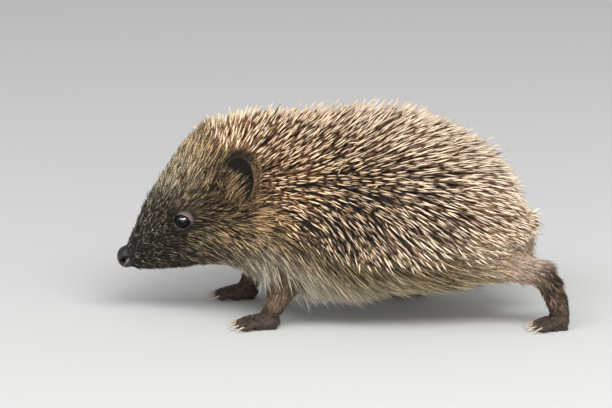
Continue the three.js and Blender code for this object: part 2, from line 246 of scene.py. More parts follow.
def axis_steps(*spans):
    """Places along one axis: spans are (start, step) pairs in order, and the last is (end, None)."""
    places = [np.linspace(a, b, max(round((b - a) / step), 1), endpoint=False)
              for (a, step), (b, _) in zip(spans, spans[1:])]
    return np.concatenate(places + [[spans[-1][0]]])


def lattice_points(axes):
    return np.stack(np.meshgrid(*axes, indexing="ij"), axis=-1).reshape(-1, 3)


class Lattice:
    """Values on an even grid of points, read between them."""

    def __init__(self, low, high, step):
        self.low, self.step = np.array(low, float), step
        self.counts = np.ceil((np.array(high) - low) / step).astype(int) + 1
        self.points = lattice_points([self.low[i] + step * np.arange(self.counts[i]) for i in range(3)])

    def fill(self, values):
        self.values = values.reshape(self.counts)

    def at(self, points):
        place = np.clip((points - self.low) / self.step, 0, self.counts - 1.0001)
        cell = place.astype(int)
        part = place - cell
        total = 0
        for corner in np.ndindex(2, 2, 2):
            index = cell + corner
            weight = np.prod(np.where(np.array(corner), part, 1 - part), axis=1)
            total = total + weight * self.values[index[:, 0], index[:, 1], index[:, 2]]
        return total


def trunk_lattices(rings):
    """Distances to the trunk's skin and to the coat's outline."""
    tree = ring_tree(*rings)
    low = np.array([box("nose")[0][0], 0, box("underside")[0][2]]) - LATTICE_MARGIN
    low[1] = -2 * LATTICE_STEP  # one half is enough, with a little past the middle
    high = box("back")[1] + LATTICE_MARGIN
    lattice = Lattice(low, high, LATTICE_STEP)
    values = np.empty(len(lattice.points))
    for i, p in enumerate(lattice.points):
        near, normal, _, gap = tree.find_nearest(Vector(p))
        values[i] = gap if (Vector(p) - near).dot(normal) > 0 else -gap
    lattice.fill(values + coat_depth(lattice.points))
    outer = copy.copy(lattice)
    outer.fill(values)
    return lattice, outer


# ---- shapes as distances ----
def smooth_min(a, b, k):
    h = np.clip(0.5 + 0.5 * (b - a) / k, 0, 1)
    return b + (a - b) * h - k * h * (1 - h)


def smooth_max(a, b, k):
    return -smooth_min(-a, -b, k)


def chain(points, path, radii):
    """Distance to a round rod through the path's points, with a radius at each."""
    best = np.full(len(points), FAR)
    for a, b, ra, rb in zip(path, path[1:], radii, radii[1:]):
        a, b = np.array(a, float), np.array(b, float)
        t = np.clip((points - a) @ (b - a) / ((b - a) @ (b - a)), 0, 1)
        gap = np.linalg.norm(points - a - t[:, None] * (b - a), axis=1) - (ra + t * (rb - ra))
        best = smooth_min(best, gap, 0.8)
    return best


def ellipsoid(points, centre, radii):
    local = (points - centre) / radii
    outer = np.linalg.norm(local, axis=1)
    return outer * (outer - 1) / (np.linalg.norm(local / radii, axis=1) + 1e-9)


def mirrored(points):
    return points * (1, 0, 1) + np.abs(points) * (0, 1, 0)


# ---- limbs ----
# Each leg's middle line from shoulder or hip to wrist or hock, as steps [back, outward, up] from
# the middle of its sole, and its radius at each point.
LEGS = {
    "forepaw_left": ([(6.5, -4, 34), (9.5, -1.5, 21), (4.5, 0, 10), (1.5, 0, 4.5)], [8, 6.3, 3.9, 3.3]),
    "forepaw_right": ([(14.5, -4, 34), (11.5, -1.5, 20), (4.5, 0, 10), (1.5, 0, 4.5)], [8, 6.3, 3.9, 3.3]),
    "hindfoot_left": ([(-42, -7, 35), (-28.8, -3, 30.5), (-15.8, 0.2, 26.6), (-8.2, 0.5, 24.9),
                       (-3.9, 0.3, 19.6), (-0.9, 0, 13), (0.8, 0, 7)], [10, 7.6, 5.2, 4.4, 4.2, 4.0, 3.8]),
    "hindfoot_right": ([(6, -8.5, 36), (0, -4, 24), (4, 0, 12), (7, -0.5, 6)], [10, 8, 5.2, 4]),
}
PALM = {"forepaw": (6.8, 5.2, 3.4), "hindfoot_left": (4.8, 5.0, 3.9), "hindfoot_right": (11.6, 5.0, 4.0)}
SOLE_DIP = 0.4  # how far the palm's round underside is cut off by the floor


def claw_line(name):
    """The middles of a claw's base and tip, from its CAD solid."""
    points = np.array([v.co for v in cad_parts[name].data.vertices]) / MM
    order = np.argsort(points[:, 0])
    return points[order[-6:]].mean(axis=0), points[order[:3]].mean(axis=0)


def paw_middle(name):
    """The middle of the palm's sole, and its half sizes."""
    half = np.array(PALM[name] if name in PALM else PALM["forepaw"])
    side = SIDES[name.split("_")[1]]
    heel, third = box(name)[1], claw_line(f"claw_{name}_3")[0]
    return np.array([heel[0] - half[0] - 0.4, third[1] - side * 0.9, 0]), half, side


def paw_parts(name):
    """The palm's ellipsoid, the toes' rods and the pads, as the field and the coat need them."""
    middle, half, side = paw_middle(name)
    palm = (middle + (0, 0, half[2] - SOLE_DIP), half)
    toes = []
    for i in TOES:
        base, tip = claw_line(f"claw_{name}_{i}")
        ahead = (tip - base) * (1, 1, 0) / np.linalg.norm((tip - base)[:2])
        knuckle = base - ahead * 6.6
        knuckle[2] = 2.5
        toes.append([knuckle, base - ahead * 2.6 + (0, 0, 0.55), base + ahead * 0.5 - (0, 0, 0.45)])
    front = middle - (half[0] * 0.5, 0, 0)
    pads = [front + (d * 0.5, side * w, 0.55) for d, w in ((2, -3.2), (-1.8, -1.7), (-1.8, 1.7), (2, 3.2))]
    pads += [middle + (half[0] * 0.55, side * w, 0.6) for w in (-1.7, 1.9)]
    return palm, toes, pads


PAW_PARTS = {name: paw_parts(name) for name in PAWS}


def leg_path(name):
    middle, _, side = paw_middle(name)
    steps, radii = LEGS[name]
    return [middle + (s[0], side * s[1], s[2]) for s in steps], radii


def leg_box(name):
    """The corners of the box that holds the paw and the leg's middle line."""
    corners = [*box(name), *LEG_PATHS[name][0]]
    return np.min(corners, axis=0), np.max(corners, axis=0)


LEG_PATHS = {name: leg_path(name) for name in PAWS}
LEG_BOXES = {name: leg_box(name) for name in PAWS}
TAIL_ROOT, TAIL_TIP = box("tail")[0], box("tail")[1]
TAIL_PATH = [(TAIL_ROOT[0] - 8, 0, TAIL_TIP[2] + 4), (TAIL_ROOT[0] + 1.5, 0, TAIL_TIP[2] - 1.5),
             (TAIL_TIP[0] - 1.2, 0, TAIL_ROOT[2] + 1.4)]
TAIL_RADII = [4.2, 2.4, 0.9]


# ---- head ----
LOOK = unit(np.array([-0.30, 0.94, 0.14]))  # the way the eye faces
ALONG_LIDS = unit(np.cross(LOOK, (0.10, 0, 1)))
ACROSS_LIDS = np.cross(ALONG_LIDS, LOOK)
LID_HALF = (3.45, 2.85)  # half the opening along and across
LID_THICK = 0.75
UPPER_LID = EYE + (0.6, 0, 0.8)


def from_nose(*steps):
    """A path of places given from the middle of the nose."""
    return [NOSE + step for step in steps]


MOUTH = from_nose((2.2, 0, -2.8), (5, 0, -2.6), (12.5, 0, -1.8), (20.5, 0, -0.6))
NOSTRIL = from_nose((-1.7, 3.7, -1.9), (-1.1, 4.0, -0.7), (0.1, 4.3, 0.7), (1.3, 4.0, 1.1))
NOSTRIL_RADII = [0.55, 0.9, 0.5, 0.3]
NOSTRIL_HOLE = from_nose((-1.2, 3.8, -1.0), (-0.4, 1.9, -0.4))
NOSTRIL_RIM = from_nose((-0.5, 4.3, -2.3), (0.4, 4.6, -1.0), (1.2, 4.6, 0.0))
NOSE_CREASE = from_nose((2.5, 4.3, 1.8), (2.9, 4.5, -0.6), (2.0, 4.2, -2.8))  # behind the wing
NOSE_FURROW = from_nose((-3.9, 0, 2.6), (-4.2, 0, 0), (-2.6, 0, -4.8))  # down its middle


def ear_axes():
    """The ear's own axes: x toward its back edge, y out of its open side, z to its tip."""
    c, s = math.cos(EAR_TURN), math.sin(EAR_TURN)
    level, out, up = np.array([c, s, 0]), np.array([-s, c, 0]), np.array([0, 0, 1])
    c, s = math.cos(EAR_LEAN), math.sin(EAR_LEAN)
    return np.array([level * c - up * s, out, level * s + up * c])


EAR_AXES = ear_axes()


def ear_frame(points):
    """Points about the ear's middle, in the ear's own axes."""
    return (points - EAR) @ EAR_AXES.T


EAR_SHELL_AT, EAR_SHELL = (-0.4, -0.2, 0.5), (9.2, 3.9, 11.8)
EAR_BOWL_AT, EAR_BOWL_HALF = (-0.7, 2.3, 0.3), (8.1, 3.9, 10.7)
CANAL_AT, CANAL_HALF = (-1.8, -0.4, -4.0), (3.4, 3.2, 3.8)


def ear_reach(local):
    """1 on the ear's outer edge and 0 at its middle, seen straight into its opening."""
    across, _, up = ((local - EAR_SHELL_AT) / EAR_SHELL).T
    return np.hypot(across, up)


def ear_front(local):
    """1 on the ear's front half, falling to 0 toward its back edge."""
    return 1 - smooth_step(-3.5, 4.5, local[:, 0] - 0.35 * np.maximum(local[:, 2], 0))


def add_ears(f, p):
    local = ear_frame(p)
    root = chain(p, [EAR + (-1, -9, -5), EAR + (0.5, -3.4, -3.5)], [6.0, 5.2])
    f = smooth_min(f, root, 3.0)
    f = smooth_min(f, ellipsoid(local, EAR_SHELL_AT, EAR_SHELL), 1.6)
    bowl = ellipsoid(local, EAR_BOWL_AT, EAR_BOWL_HALF)
    bowl = smooth_min(bowl, ellipsoid(local, CANAL_AT, CANAL_HALF), 1.2)
    folds = chain(local, [(-4.6, 1.2, -6.5), (-2.2, 0.4, -6.0), (0.4, 0.4, -7.2)], [1.2, 1.0, 0.7])
    bowl = smooth_max(bowl, -folds, 0.8)
    return smooth_max(f, -bowl, 0.5)


def add_eyes(f, p):
    offset = p - EYE
    distance = np.linalg.norm(offset, axis=1)
    out, along, across = offset @ LOOK, offset @ ALONG_LIDS, offset @ ACROSS_LIDS
    brow = chain(p, [EYE + (-4.0, -0.8, 3.8), EYE + (0, 0.2, 5.2), EYE + (4.4, 0.2, 4.4)], [1.2, 1.6, 1.3])
    f = smooth_min(f, brow, 2.5)
    f = smooth_min(f, distance - EYE_RADIUS - LID_THICK, 0.9)
    opening = np.hypot(along / LID_HALF[0], across / LID_HALF[1]) - 1
    pit = smooth_max(opening * LID_HALF[1], EYE_RADIUS - 0.9 - distance, 0.3)
    corners = chain(p, [EYE + ALONG_LIDS * s + LOOK * w for s, w in ((-4.9, 1.7), (0, 4.4), (4.9, 1.7))],
                    [0.3, 1.2, 0.3])
    pit = smooth_max(smooth_min(pit, corners, 0.5), -out, 0.3)
    return smooth_max(f, -pit, 0.3)


def add_nose(f, p):
    pad = ellipsoid(p, NOSE + (0.2, 0, 0.1), (3.9, 4.1, 4.7))
    f = smooth_min(f, pad, 1.0)
    wing = ellipsoid(p, NOSE + (-0.3, 2.7, -0.2), (2.5, 1.75, 3.0))
    f = smooth_min(f, wing, 0.7)
    nostril = smooth_min(chain(p, NOSTRIL, NOSTRIL_RADII), chain(p, NOSTRIL_HOLE, [0.9, 0.7]), 0.4)
    f = smooth_max(f, -nostril, 0.3)
    f = smooth_max(f, -chain(p, NOSE_CREASE, [0.3, 0.4, 0.3]), 0.4)
    return smooth_max(f, -chain(p, NOSE_FURROW, [0.25, 0.5, 0.45]), 0.4)


def add_mouth(f, p):
    lip = chain(p * (1, 0, 1) + (0, NOSE[1], 0), MOUTH, [0.25, 0.38, 0.38, 0.2])
    return smooth_max(f, -np.maximum(lip, -(f + 1.2)), 0.35)


CHUNK = 200_000  # points worked out at a time


def near(points, low, high, margin):
    return np.all((points > np.array(low) - margin) & (points < np.array(high) + margin), axis=1)


def local_change(f, points, low, high, change, margin):
    """Applies change only where the points are near the box."""
    close = near(points, low, high, margin)
    f[close] = change(f[close], points[close])
    return f


def paw_field(f, p, name):
    (centre, half), toes, pads = PAW_PARTS[name]
    f = smooth_min(f, chain(p, *LEG_PATHS[name]), 3.0)
    foot = ellipsoid(p, centre, half)
    for toe in toes:
        foot = smooth_min(foot, chain(p, toe, [1.55, 1.45, 1.4]), 0.7)
    for pad in pads:
        foot = smooth_min(foot, ellipsoid(p, pad, (1.7, 1.45, 1.1)), 0.4)
    f = smooth_min(f, foot, 1.2)
    return smooth_max(f, -p[:, 2], 0.25)


def field(points):
    """Roughly the distance to the skin, negative inside."""
    if len(points) > CHUNK:
        parts = range(0, len(points), CHUNK)
        return np.concatenate([field(points[i:i + CHUNK]) for i in parts])
    halved = mirrored(points)
    f = TRUNK.at(halved)
    for name in PAWS:
        f = local_change(f, points, *LEG_BOXES[name], lambda g, p, n=name: paw_field(g, p, n), 14)
    f = local_change(f, points, np.min(TAIL_PATH, axis=0), np.max(TAIL_PATH, axis=0),
                     lambda g, p: smooth_min(g, chain(p, TAIL_PATH, TAIL_RADII), 2.0), 8)
    f = local_change(f, halved, EAR_LOW, EAR_HIGH, add_ears, 8)
    f = local_change(f, halved, EYE - 4, EYE + 4, add_eyes, 5)
    f = local_change(f, halved, NOSE - 4, NOSE + 4, add_nose, 4)
    return local_change(f, halved, MOUTH[0] * (1, 0, 1), MOUTH[-1] + (0, 12, 0), add_mouth, 3)


def gradient(points, step=0.15):
    steps = np.eye(3) * step
    return np.stack([field(points + s) - field(points - s) for s in steps], axis=1) / (2 * step)


def settle(points, rounds=2):
    """Moves points onto the skin."""
    for _ in range(rounds):
        slope = gradient(points)
        square = np.maximum((slope**2).sum(axis=1), 0.3)
        points = points - np.clip(field(points) / square, -0.6, 0.6)[:, None] * slope
    return points


# ---- the skin's mesh ----
def net(values, axes):
    """Surface nets: one vertex in each cell that the surface crosses, and quads between them."""
    inside = values < 0
    corners = list(np.ndindex(2, 2, 2))
    nx, ny, nz = (n - 1 for n in values.shape)

    def corner(array, c):
        return array[c[0]:c[0] + nx, c[1]:c[1] + ny, c[2]:c[2] + nz]

    count = sum(corner(inside, c).astype(int) for c in corners)
    mixed = (count > 0) & (count < 8)
    ids = np.full(mixed.shape, -1)
    ids[mixed] = np.arange(mixed.sum())
    total, crossings = np.zeros((mixed.sum(), 3)), np.zeros(mixed.sum())
    for a in corners:
        for axis in range(3):
            if a[axis] == 0:
                b = tuple(v + (i == axis) for i, v in enumerate(a))
                fa, fb = corner(values, a)[mixed], corner(values, b)[mixed]
                cut = (fa < 0) != (fb < 0)
                t = np.where(cut, fa / np.where(cut, fa - fb, 1), 0)
                place = np.tile(np.array(a, float), (len(fa), 1))
                place[:, axis] = t
                total += place * cut[:, None]
                crossings += cut
    place = np.argwhere(mixed) + total / crossings[:, None]
    vertices = np.stack([np.interp(place[:, i], np.arange(len(axes[i])), axes[i]) for i in range(3)], axis=1)
    quads = []
    for axis in range(3):
        u, v = (axis + 1) % 3, (axis + 2) % 3
        start = [slice(1, n) for n in (nx, ny, nz)]
        start[axis] = slice(0, (nx, ny, nz)[axis])
        end = list(start)
        end[axis] = slice(1, (nx, ny, nz)[axis] + 1)
        here, there = inside[tuple(start)], inside[tuple(end)]
        for flip in (False, True):
            hit = np.argwhere((here & ~there) if not flip else (~here & there))
            offset = np.ones(3, int)
            offset[axis] = 0
            cell = hit + offset
            around = []
            for du, dv in ((-1, -1), (0, -1), (0, 0), (-1, 0)):
                c = cell.copy()
                c[:, u] += du
                c[:, v] += dv
                around.append(ids[c[:, 0], c[:, 1], c[:, 2]])
            quad = np.stack(around, axis=1)
            quads.append(quad[:, ::-1] if flip else quad)
    quads = np.concatenate(quads)
    return vertices, np.concatenate([quads[:, [0, 1, 2]], quads[:, [0, 2, 3]]])


def refine(vertices, triangles, wanted):
    """Splits each edge that is much longer than wanted(its middle), once, keeping the mesh closed."""
    edges = np.sort(triangles[:, [[0, 1], [1, 2], [2, 0]]].reshape(-1, 2), axis=1)
    unique, inverse = np.unique(edges, axis=0, return_inverse=True)
    inverse = inverse.reshape(-1)
    a, b = vertices[unique[:, 0]], vertices[unique[:, 1]]
    split = np.linalg.norm(a - b, axis=1) > 1.35 * wanted((a + b) / 2)
    middle = np.full(len(unique), -1)
    middle[split] = len(vertices) + np.arange(split.sum())
    vertices = np.concatenate([vertices, ((a + b) / 2)[split]])
    mids = middle[inverse].reshape(-1, 3)
    out = [triangles[(mids < 0).all(axis=1)]]
    # A triangle's columns are its corners, 0 to 2, and then the middles of its edges, 3 to 5.
    for turn in range(3):
        t, m = np.roll(triangles, -turn, axis=1), np.roll(mids, -turn, axis=1)
        both = np.concatenate([t, m], axis=1)
        one = both[(m[:, 0] >= 0) & (m[:, 1] < 0) & (m[:, 2] < 0)]
        two = both[(m[:, 0] >= 0) & (m[:, 1] >= 0) & (m[:, 2] < 0)]
        out += [one[:, [0, 3, 2]], one[:, [3, 1, 2]]]
        out += [two[:, [3, 1, 4]], two[:, [0, 3, 4]], two[:, [0, 4, 2]]]
    both = np.concatenate([triangles, mids], axis=1)[(mids >= 0).all(axis=1)]
    out += [both[:, [0, 3, 5]], both[:, [3, 1, 4]], both[:, [5, 4, 2]], both[:, 3:]]
    return vertices, np.concatenate(out)


def wanted_edge(points):
    """How long the skin's edges may be: least round the eyes, nose and mouth."""
    p = mirrored(points)
    off_eye, off_nose_tip, off_ear = (np.linalg.norm(p - place, axis=1) for place in (EYE, NOSE, EAR))
    off_mouth = np.linalg.norm((p - MOUTH[2]) * (1, 0, 1), axis=1)
    size = np.full(len(p), 2.2)
    for gap, start, least, growth in ((off_eye, 5, 0.26, 0.16), (off_nose_tip, 6, 0.32, 0.12),
                                      (off_mouth, 10, 0.55, 0.12), (off_ear, 13, 0.75, 0.12),
                                      (p[:, 2], 6, 0.75, 0.15)):
        size = np.minimum(size, least + growth * np.maximum(gap - start, 0))
    return size


def make_skin():
    low, high = np.array(CAD_BOX[0]) / MM, np.array(CAD_BOX[1]) / MM
    across = axis_steps((0, 0.6), (5, 1.1), (EYE[1] - 3, 0.6), (EAR_HIGH[1] + 1, 1.4), (high[1] + 1, None))
    axes = [axis_steps((low[0] - 1, 0.55), (NOSE[0] + 6, 0.8), (EYE[0] - 5.5, 0.6), (EYE[0] + 5.5, 0.85),
                       (EAR_HIGH[0] + 3, 1.5), (high[0] + 1, None)),
            np.concatenate([-across[:0:-1], across]),
            axis_steps((-0.9, 0.7), (9, 1.15), (NOSE[2] - 5.5, 0.6), (EYE[2] + 5, 1.1),
                       (EAR_HIGH[2] + 2, 1.5), (high[2] + 1, None))]
    values = field(lattice_points(axes)).reshape([len(a) for a in axes])
    vertices, triangles = net(values, axes)
    vertices = settle(vertices)
    for _ in range(2):
        vertices, triangles = refine(vertices, triangles, wanted_edge)
        vertices = settle(vertices)
    return vertices, triangles


# ---- meshes and attributes ----
def new_mesh(name, vertices, loops, sizes, material, smooth=True):
    """An object from flat arrays: vertices in mm, the loops' vertex numbers and the faces' sizes."""
    mesh = bpy.data.meshes.new(name)
    mesh.vertices.add(len(vertices))
    mesh.vertices.foreach_set("co", (vertices * MM).astype(np.float32).ravel())
    mesh.loops.add(len(loops))
    mesh.loops.foreach_set("vertex_index", loops.astype(np.int32))
    mesh.polygons.add(len(sizes))
    starts = np.concatenate([[0], np.cumsum(sizes)[:-1]])
    mesh.polygons.foreach_set("loop_start", starts.astype(np.int32))
    mesh.polygons.foreach_set("loop_total", np.asarray(sizes, np.int32))
    mesh.update(calc_edges=True)
    mesh.validate()
    mesh.polygons.foreach_set("use_smooth", np.full(len(mesh.polygons), smooth))
    mesh.materials.append(material)
    piece = bpy.data.objects.new(name, mesh)
    bpy.context.scene.collection.objects.link(piece)
    return piece


def store(piece, name, values):
    """Gives each vertex a number, or a colour from three columns."""
    values = np.asarray(values, np.float32)
    colour = values.ndim == 2
    if colour:
        values = np.concatenate([values, np.ones((len(values), 1), np.float32)], axis=1)
    attribute = piece.data.attributes.new(name, "FLOAT_COLOR" if colour else "FLOAT", "POINT")
    attribute.data.foreach_set("color" if colour else "value", values.ravel())


def store_places(piece, places):
    """Gives each corner its place on the unwrap."""
    piece.data.uv_layers.new(name="OFBake").uv.foreach_set("vector", places.astype(np.float32).ravel())


def ride(piece, slot, *nodes):
    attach(piece, "root")
    if nodes:
        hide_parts(*nodes)
    return piece


BODY_RINGS = measured_rings()
TRUNK, OUTLINE = trunk_lattices(BODY_RINGS)

# ---- colours ----
# Marks seen from the side: x and z, then a hair's colour at root and tip (sRGB).
FUR_MARKS = np.array([
    (-91, 31, 24, 22, 18, 100, 94, 80),       # tip of the muzzle
    (-84, 43, 21, 19, 15, 248, 243, 222),     # top of the muzzle, grizzled
    (-82, 30, 23, 21, 17, 140, 133, 112),     # upper lip
    (-76, 40, 28, 24, 18, 116, 104, 86),      # side of the muzzle
    (-68, 44, 28, 21, 14, 76, 64, 50),        # round the eye
    (-75, 45, 42, 31, 24, 94, 72, 58),        # before the eye, reddish
    (-71, 50, 22, 18, 12, 58, 49, 36),        # over the eye, dark
    (-65, 54, 42, 34, 22, 132, 112, 83),      # brow
    (-77, 57, 112, 100, 76, 255, 246, 218),   # low forehead
    (-74, 62, 112, 98, 72, 255, 240, 204),    # forehead, middle
    (-67, 69, 60, 46, 30, 236, 202, 156),     # forehead
    (-60, 80, 92, 70, 45, 236, 200, 152),     # crown
    (-56, 58, 24, 18, 10, 84, 69, 47),        # before the ear
    (-47, 65, 48, 36, 21, 160, 130, 92),      # tufts over the ear
    (-62, 38, 38, 31, 23, 186, 163, 128),     # cheek
    (-48, 42, 22, 17, 9, 196, 160, 108),      # back of the cheek
    (-38, 54, 38, 27, 15, 255, 212, 156),     # behind the ear
    (-62, 26, 40, 35, 25, 120, 109, 82),      # chin
    (-48, 25, 118, 112, 92, 236, 228, 204),   # throat
    (-42, 31, 158, 151, 131, 250, 243, 222),  # throat, behind
    (-34, 28, 196, 190, 172, 255, 251, 238),  # chest
    (-24, 27, 196, 189, 170, 255, 251, 238),  # chest, behind
    (-10, 22, 172, 161, 136, 254, 246, 224),  # belly, front
    (-27, 43, 34, 26, 15, 172, 141, 99),      # shoulder
    (-8, 37, 40, 32, 18, 192, 164, 118),      # flank
    (20, 18, 176, 158, 122, 255, 241, 204),   # belly
    (30, 32, 58, 46, 29, 234, 202, 150),      # flank, behind
    (50, 24, 178, 155, 120, 255, 240, 206),   # belly, behind
    (68, 30, 178, 148, 120, 255, 232, 200),   # thigh
])
SPINE_MARKS = np.array([
    (-52, 85, 140, 102, 70, 250, 226, 190),   # crown
    (-20, 86, 76, 52, 34, 240, 212, 181),     # shoulders, top
    (12, 88, 96, 68, 46, 240, 216, 187),      # back, top
    (44, 82, 92, 67, 45, 233, 211, 182),      # back, behind
    (-24, 66, 86, 57, 34, 246, 213, 172),     # behind the ear
    (0, 58, 16, 9, 4, 226, 196, 162),         # flank, front; its near-black root colour is partly painted shade in the gaps
    (30, 54, 42, 27, 15, 254, 228, 196),      # flank
    (58, 56, 114, 84, 56, 254, 231, 204),     # flank, behind
    (30, 42, 126, 94, 64, 255, 238, 212),     # flank, below
    (76, 54, 138, 104, 74, 254, 234, 208),    # rump
])
LEG_HAIR = {"fore": ((44, 36, 28), (122, 102, 80)), "hind": ((222, 186, 158), (255, 238, 216))}
FOOT_HAIR = ((32, 26, 20), (112, 92, 72))
EAR_HAIR = ((50, 38, 24), (184, 148, 104))
EAR_INSIDE_AND_SHADE = ((22, 18, 12), (66, 55, 37))
EAR_TUFT = ((60, 46, 28), (216, 184, 138))
LEG_SKIN, FOOT_SKIN, EAR_SKIN, BOWL_SKIN_AND_SHADE = (168, 134, 112), (62, 50, 42), (112, 86, 60), (22, 17, 12)
NOSE_SKIN, NOSTRIL_SKIN, SPINE_SKIN_AND_SHADE = (34, 31, 29), (104, 96, 92), (22, 15, 10)
# The lids' skin colours carry painted light and shade: lighter on the upper lid, darker on the lower.
UPPER_LID_SKIN_LIT, LOWER_LID_SKIN_SHADED, LID_EDGE, TEAR_GLINT = (106, 92, 85), (36, 30, 26), (30, 22, 18), (84, 80, 76)


def linear(colour):
    """sRGB from 0 to 255, as the linear colour that a shader takes."""
    c = np.asarray(colour, float) / 255
    return np.where(c <= 0.04045, c / 12.92, ((c + 0.055) / 1.055) ** 2.4)


# ---- zones and charts: where a place lies on the animal and on its unwrap ----
BODY, EAR_BACK, EAR_BOWL, TAIL = 0, 5, 6, 7  # 1 to 4 are the legs, in the order of PAWS
XS, CENTRES, _, RADII = BODY_RINGS
PROFILE = np.concatenate([[0], np.cumsum(np.hypot(np.diff(XS), np.diff(RADII.mean(axis=1))))])


def nearest_on(points, path):
    """For each point: how far along the path its nearest place lies, that place and the direction."""
    path = np.array(path, float)
    starts = np.concatenate([[0], np.cumsum(np.linalg.norm(np.diff(path, axis=0), axis=1))])
    gaps, alongs, places = [], [], []
    for a, b, start in zip(path, path[1:], starts):
        t = np.clip((points - a) @ (b - a) / ((b - a) @ (b - a)), 0, 1)
        place = a + t[:, None] * (b - a)
        gaps.append(np.linalg.norm(points - place, axis=1))
        alongs.append(start + t * np.linalg.norm(b - a))
        places.append(place)
    gaps = np.array(gaps)
    weight = np.exp(-(gaps - gaps.min(axis=0)) / 1.6)
    weight /= weight.sum(axis=0)
    direction = sum(w[:, None] * unit(b - a) for w, a, b in zip(weight, path, path[1:]))
    best, rows = gaps.argmin(axis=0), np.arange(len(points))
    return np.array(alongs)[best, rows], np.array(places)[best, rows], unit(direction), gaps.min(axis=0)


def leg_line(name):
    """The leg's middle line, going on through the foot to the toes."""
    (centre, half), _, _ = PAW_PARTS[name]
    return [*LEG_PATHS[name][0], centre - (half[0] + 3, 0, 1.2)]


def zones(points):
    halved = mirrored(points)
    off = TRUNK.at(halved)
    zone = np.full(len(points), BODY)
    for i, name in enumerate(PAWS):
        leg = near(points, *LEG_BOXES[name], 9)
        gap = chain(points[leg], *LEG_PATHS[name])
        foot = near(points[leg], *box(name), 2.5) & (points[leg][:, 2] < 8)
        zone[np.flatnonzero(leg)[(off[leg] > 1.6) & ((gap < 2.5) | foot)]] = i + 1
    local = ear_frame(halved)
    ear = (ellipsoid(local, EAR_SHELL_AT, EAR_SHELL) < 0.5) & (off > 1.2)
    bowl = ellipsoid(local, EAR_BOWL_AT, EAR_BOWL_HALF) < 0.6
    zone[ear] = EAR_BACK
    zone[bowl | (ellipsoid(local, CANAL_AT, CANAL_HALF) < 0.9)] = EAR_BOWL
    tail = (chain(points, TAIL_PATH, TAIL_RADII) < 0.6) & (points[:, 0] > TAIL_ROOT[0] - 3)
    zone[(off > 1.5) & tail] = TAIL
    return zone


CHART = {BODY: (0.01, 0.01, 0.98, 0.70), 1: (0.01, 0.73, 0.15, 0.26), 2: (0.17, 0.73, 0.15, 0.26),
         3: (0.33, 0.73, 0.15, 0.26), 4: (0.49, 0.73, 0.15, 0.26), EAR_BACK: (0.65, 0.73, 0.13, 0.26),
         EAR_BOWL: (0.79, 0.73, 0.13, 0.26), TAIL: (0.93, 0.73, 0.06, 0.26)}


def unwrap(points, zone):
    """Each point's place on the skin's unwrap: the body, legs and tail unrolled, the ears laid flat."""
    place = np.zeros((len(points), 2))
    middle = np.interp(points[:, 0], XS, CENTRES)
    turn = np.arctan2(points[:, 1], points[:, 2] - middle)
    place[:, 0] = np.interp(points[:, 0], XS, PROFILE) / PROFILE[-1]
    place[:, 1] = turn / (2 * np.pi) + 0.5
    for i, name in enumerate(PAWS):
        here = zone == i + 1
        along, axis_place, _, _ = nearest_on(points[here], leg_line(name))
        out = points[here] - axis_place
        place[here] = np.stack([np.arctan2(out[:, 1], out[:, 0] + out[:, 2]) / (2 * np.pi) + 0.5,
                                along / 62], axis=1)
    for ear in (EAR_BACK, EAR_BOWL):
        here = zone == ear
        local = ear_frame(mirrored(points[here]))
        middle = np.where(points[here][:, 1] > 0, 0.76, 0.24)  # the two ears, one above the other
        place[here] = np.stack([local[:, 0] / 20 + 0.5, local[:, 2] / 48 + middle], axis=1)
    here = zone == TAIL
    place[here] = np.stack([np.arctan2(points[here][:, 1], points[here][:, 2] - 20) / 7 + 0.5,
                            (points[here][:, 0] - TAIL_ROOT[0] + 4) / 16], axis=1)
    spans = np.array([CHART[z] for z in range(8)])[zone]
    return spans[:, :2] + np.clip(place, 0, 1) * spans[:, 2:]


# ---- roots of the coat ----
rng = np.random.default_rng(11)


class Skin:
    """The skin's mesh with what the coat reads from it."""

    def __init__(self):
        self.vertices, self.triangles = make_skin()
        corners = self.vertices[self.triangles]
        cross = np.cross(corners[:, 1] - corners[:, 0], corners[:, 2] - corners[:, 0])
        self.areas = np.linalg.norm(cross, axis=1) / 2
        self.middles = corners.mean(axis=1)
        self.normals = unit(gradient(self.vertices))
        self.zones = zones(self.middles)
        self.mantle = inside_mantle(mirrored(self.middles))

    def scatter(self, density):
        """Roots spread over the triangles at this many for each square millimetre."""
        expected = self.areas * density
        total = int(round(expected.sum()))
        place = (np.arange(total) + rng.random(total)) / total * expected.sum()
        triangle = np.minimum(np.searchsorted(np.cumsum(expected), place), len(expected) - 1)
        a, b = rng.random((2, total))
        a, b = np.where(a + b > 1, 1 - a, a), np.where(a + b > 1, 1 - b, b)
        weights = np.stack([1 - a - b, a, b], axis=1)[:, :, None]
        corners = self.triangles[triangle]
        return ((self.vertices[corners] * weights).sum(axis=1),
                unit((self.normals[corners] * weights).sum(axis=1)), triangle)


def spaced(points, gap):
    """Which points to keep so that none lies within the gap of another."""
    cells, kept = {}, []
    keys = np.floor(points / gap).astype(int)
    around = list(np.ndindex(3, 3, 3))
    for i, (p, key) in enumerate(zip(points, map(tuple, keys))):
        close = (cells.get((key[0] + a - 1, key[1] + b - 1, key[2] + c - 1)) for a, b, c in around)
        if all(q is None or ((q - p) ** 2).sum() > gap * gap for q in close):
            cells[key] = p
            kept.append(i)
    return np.array(kept)


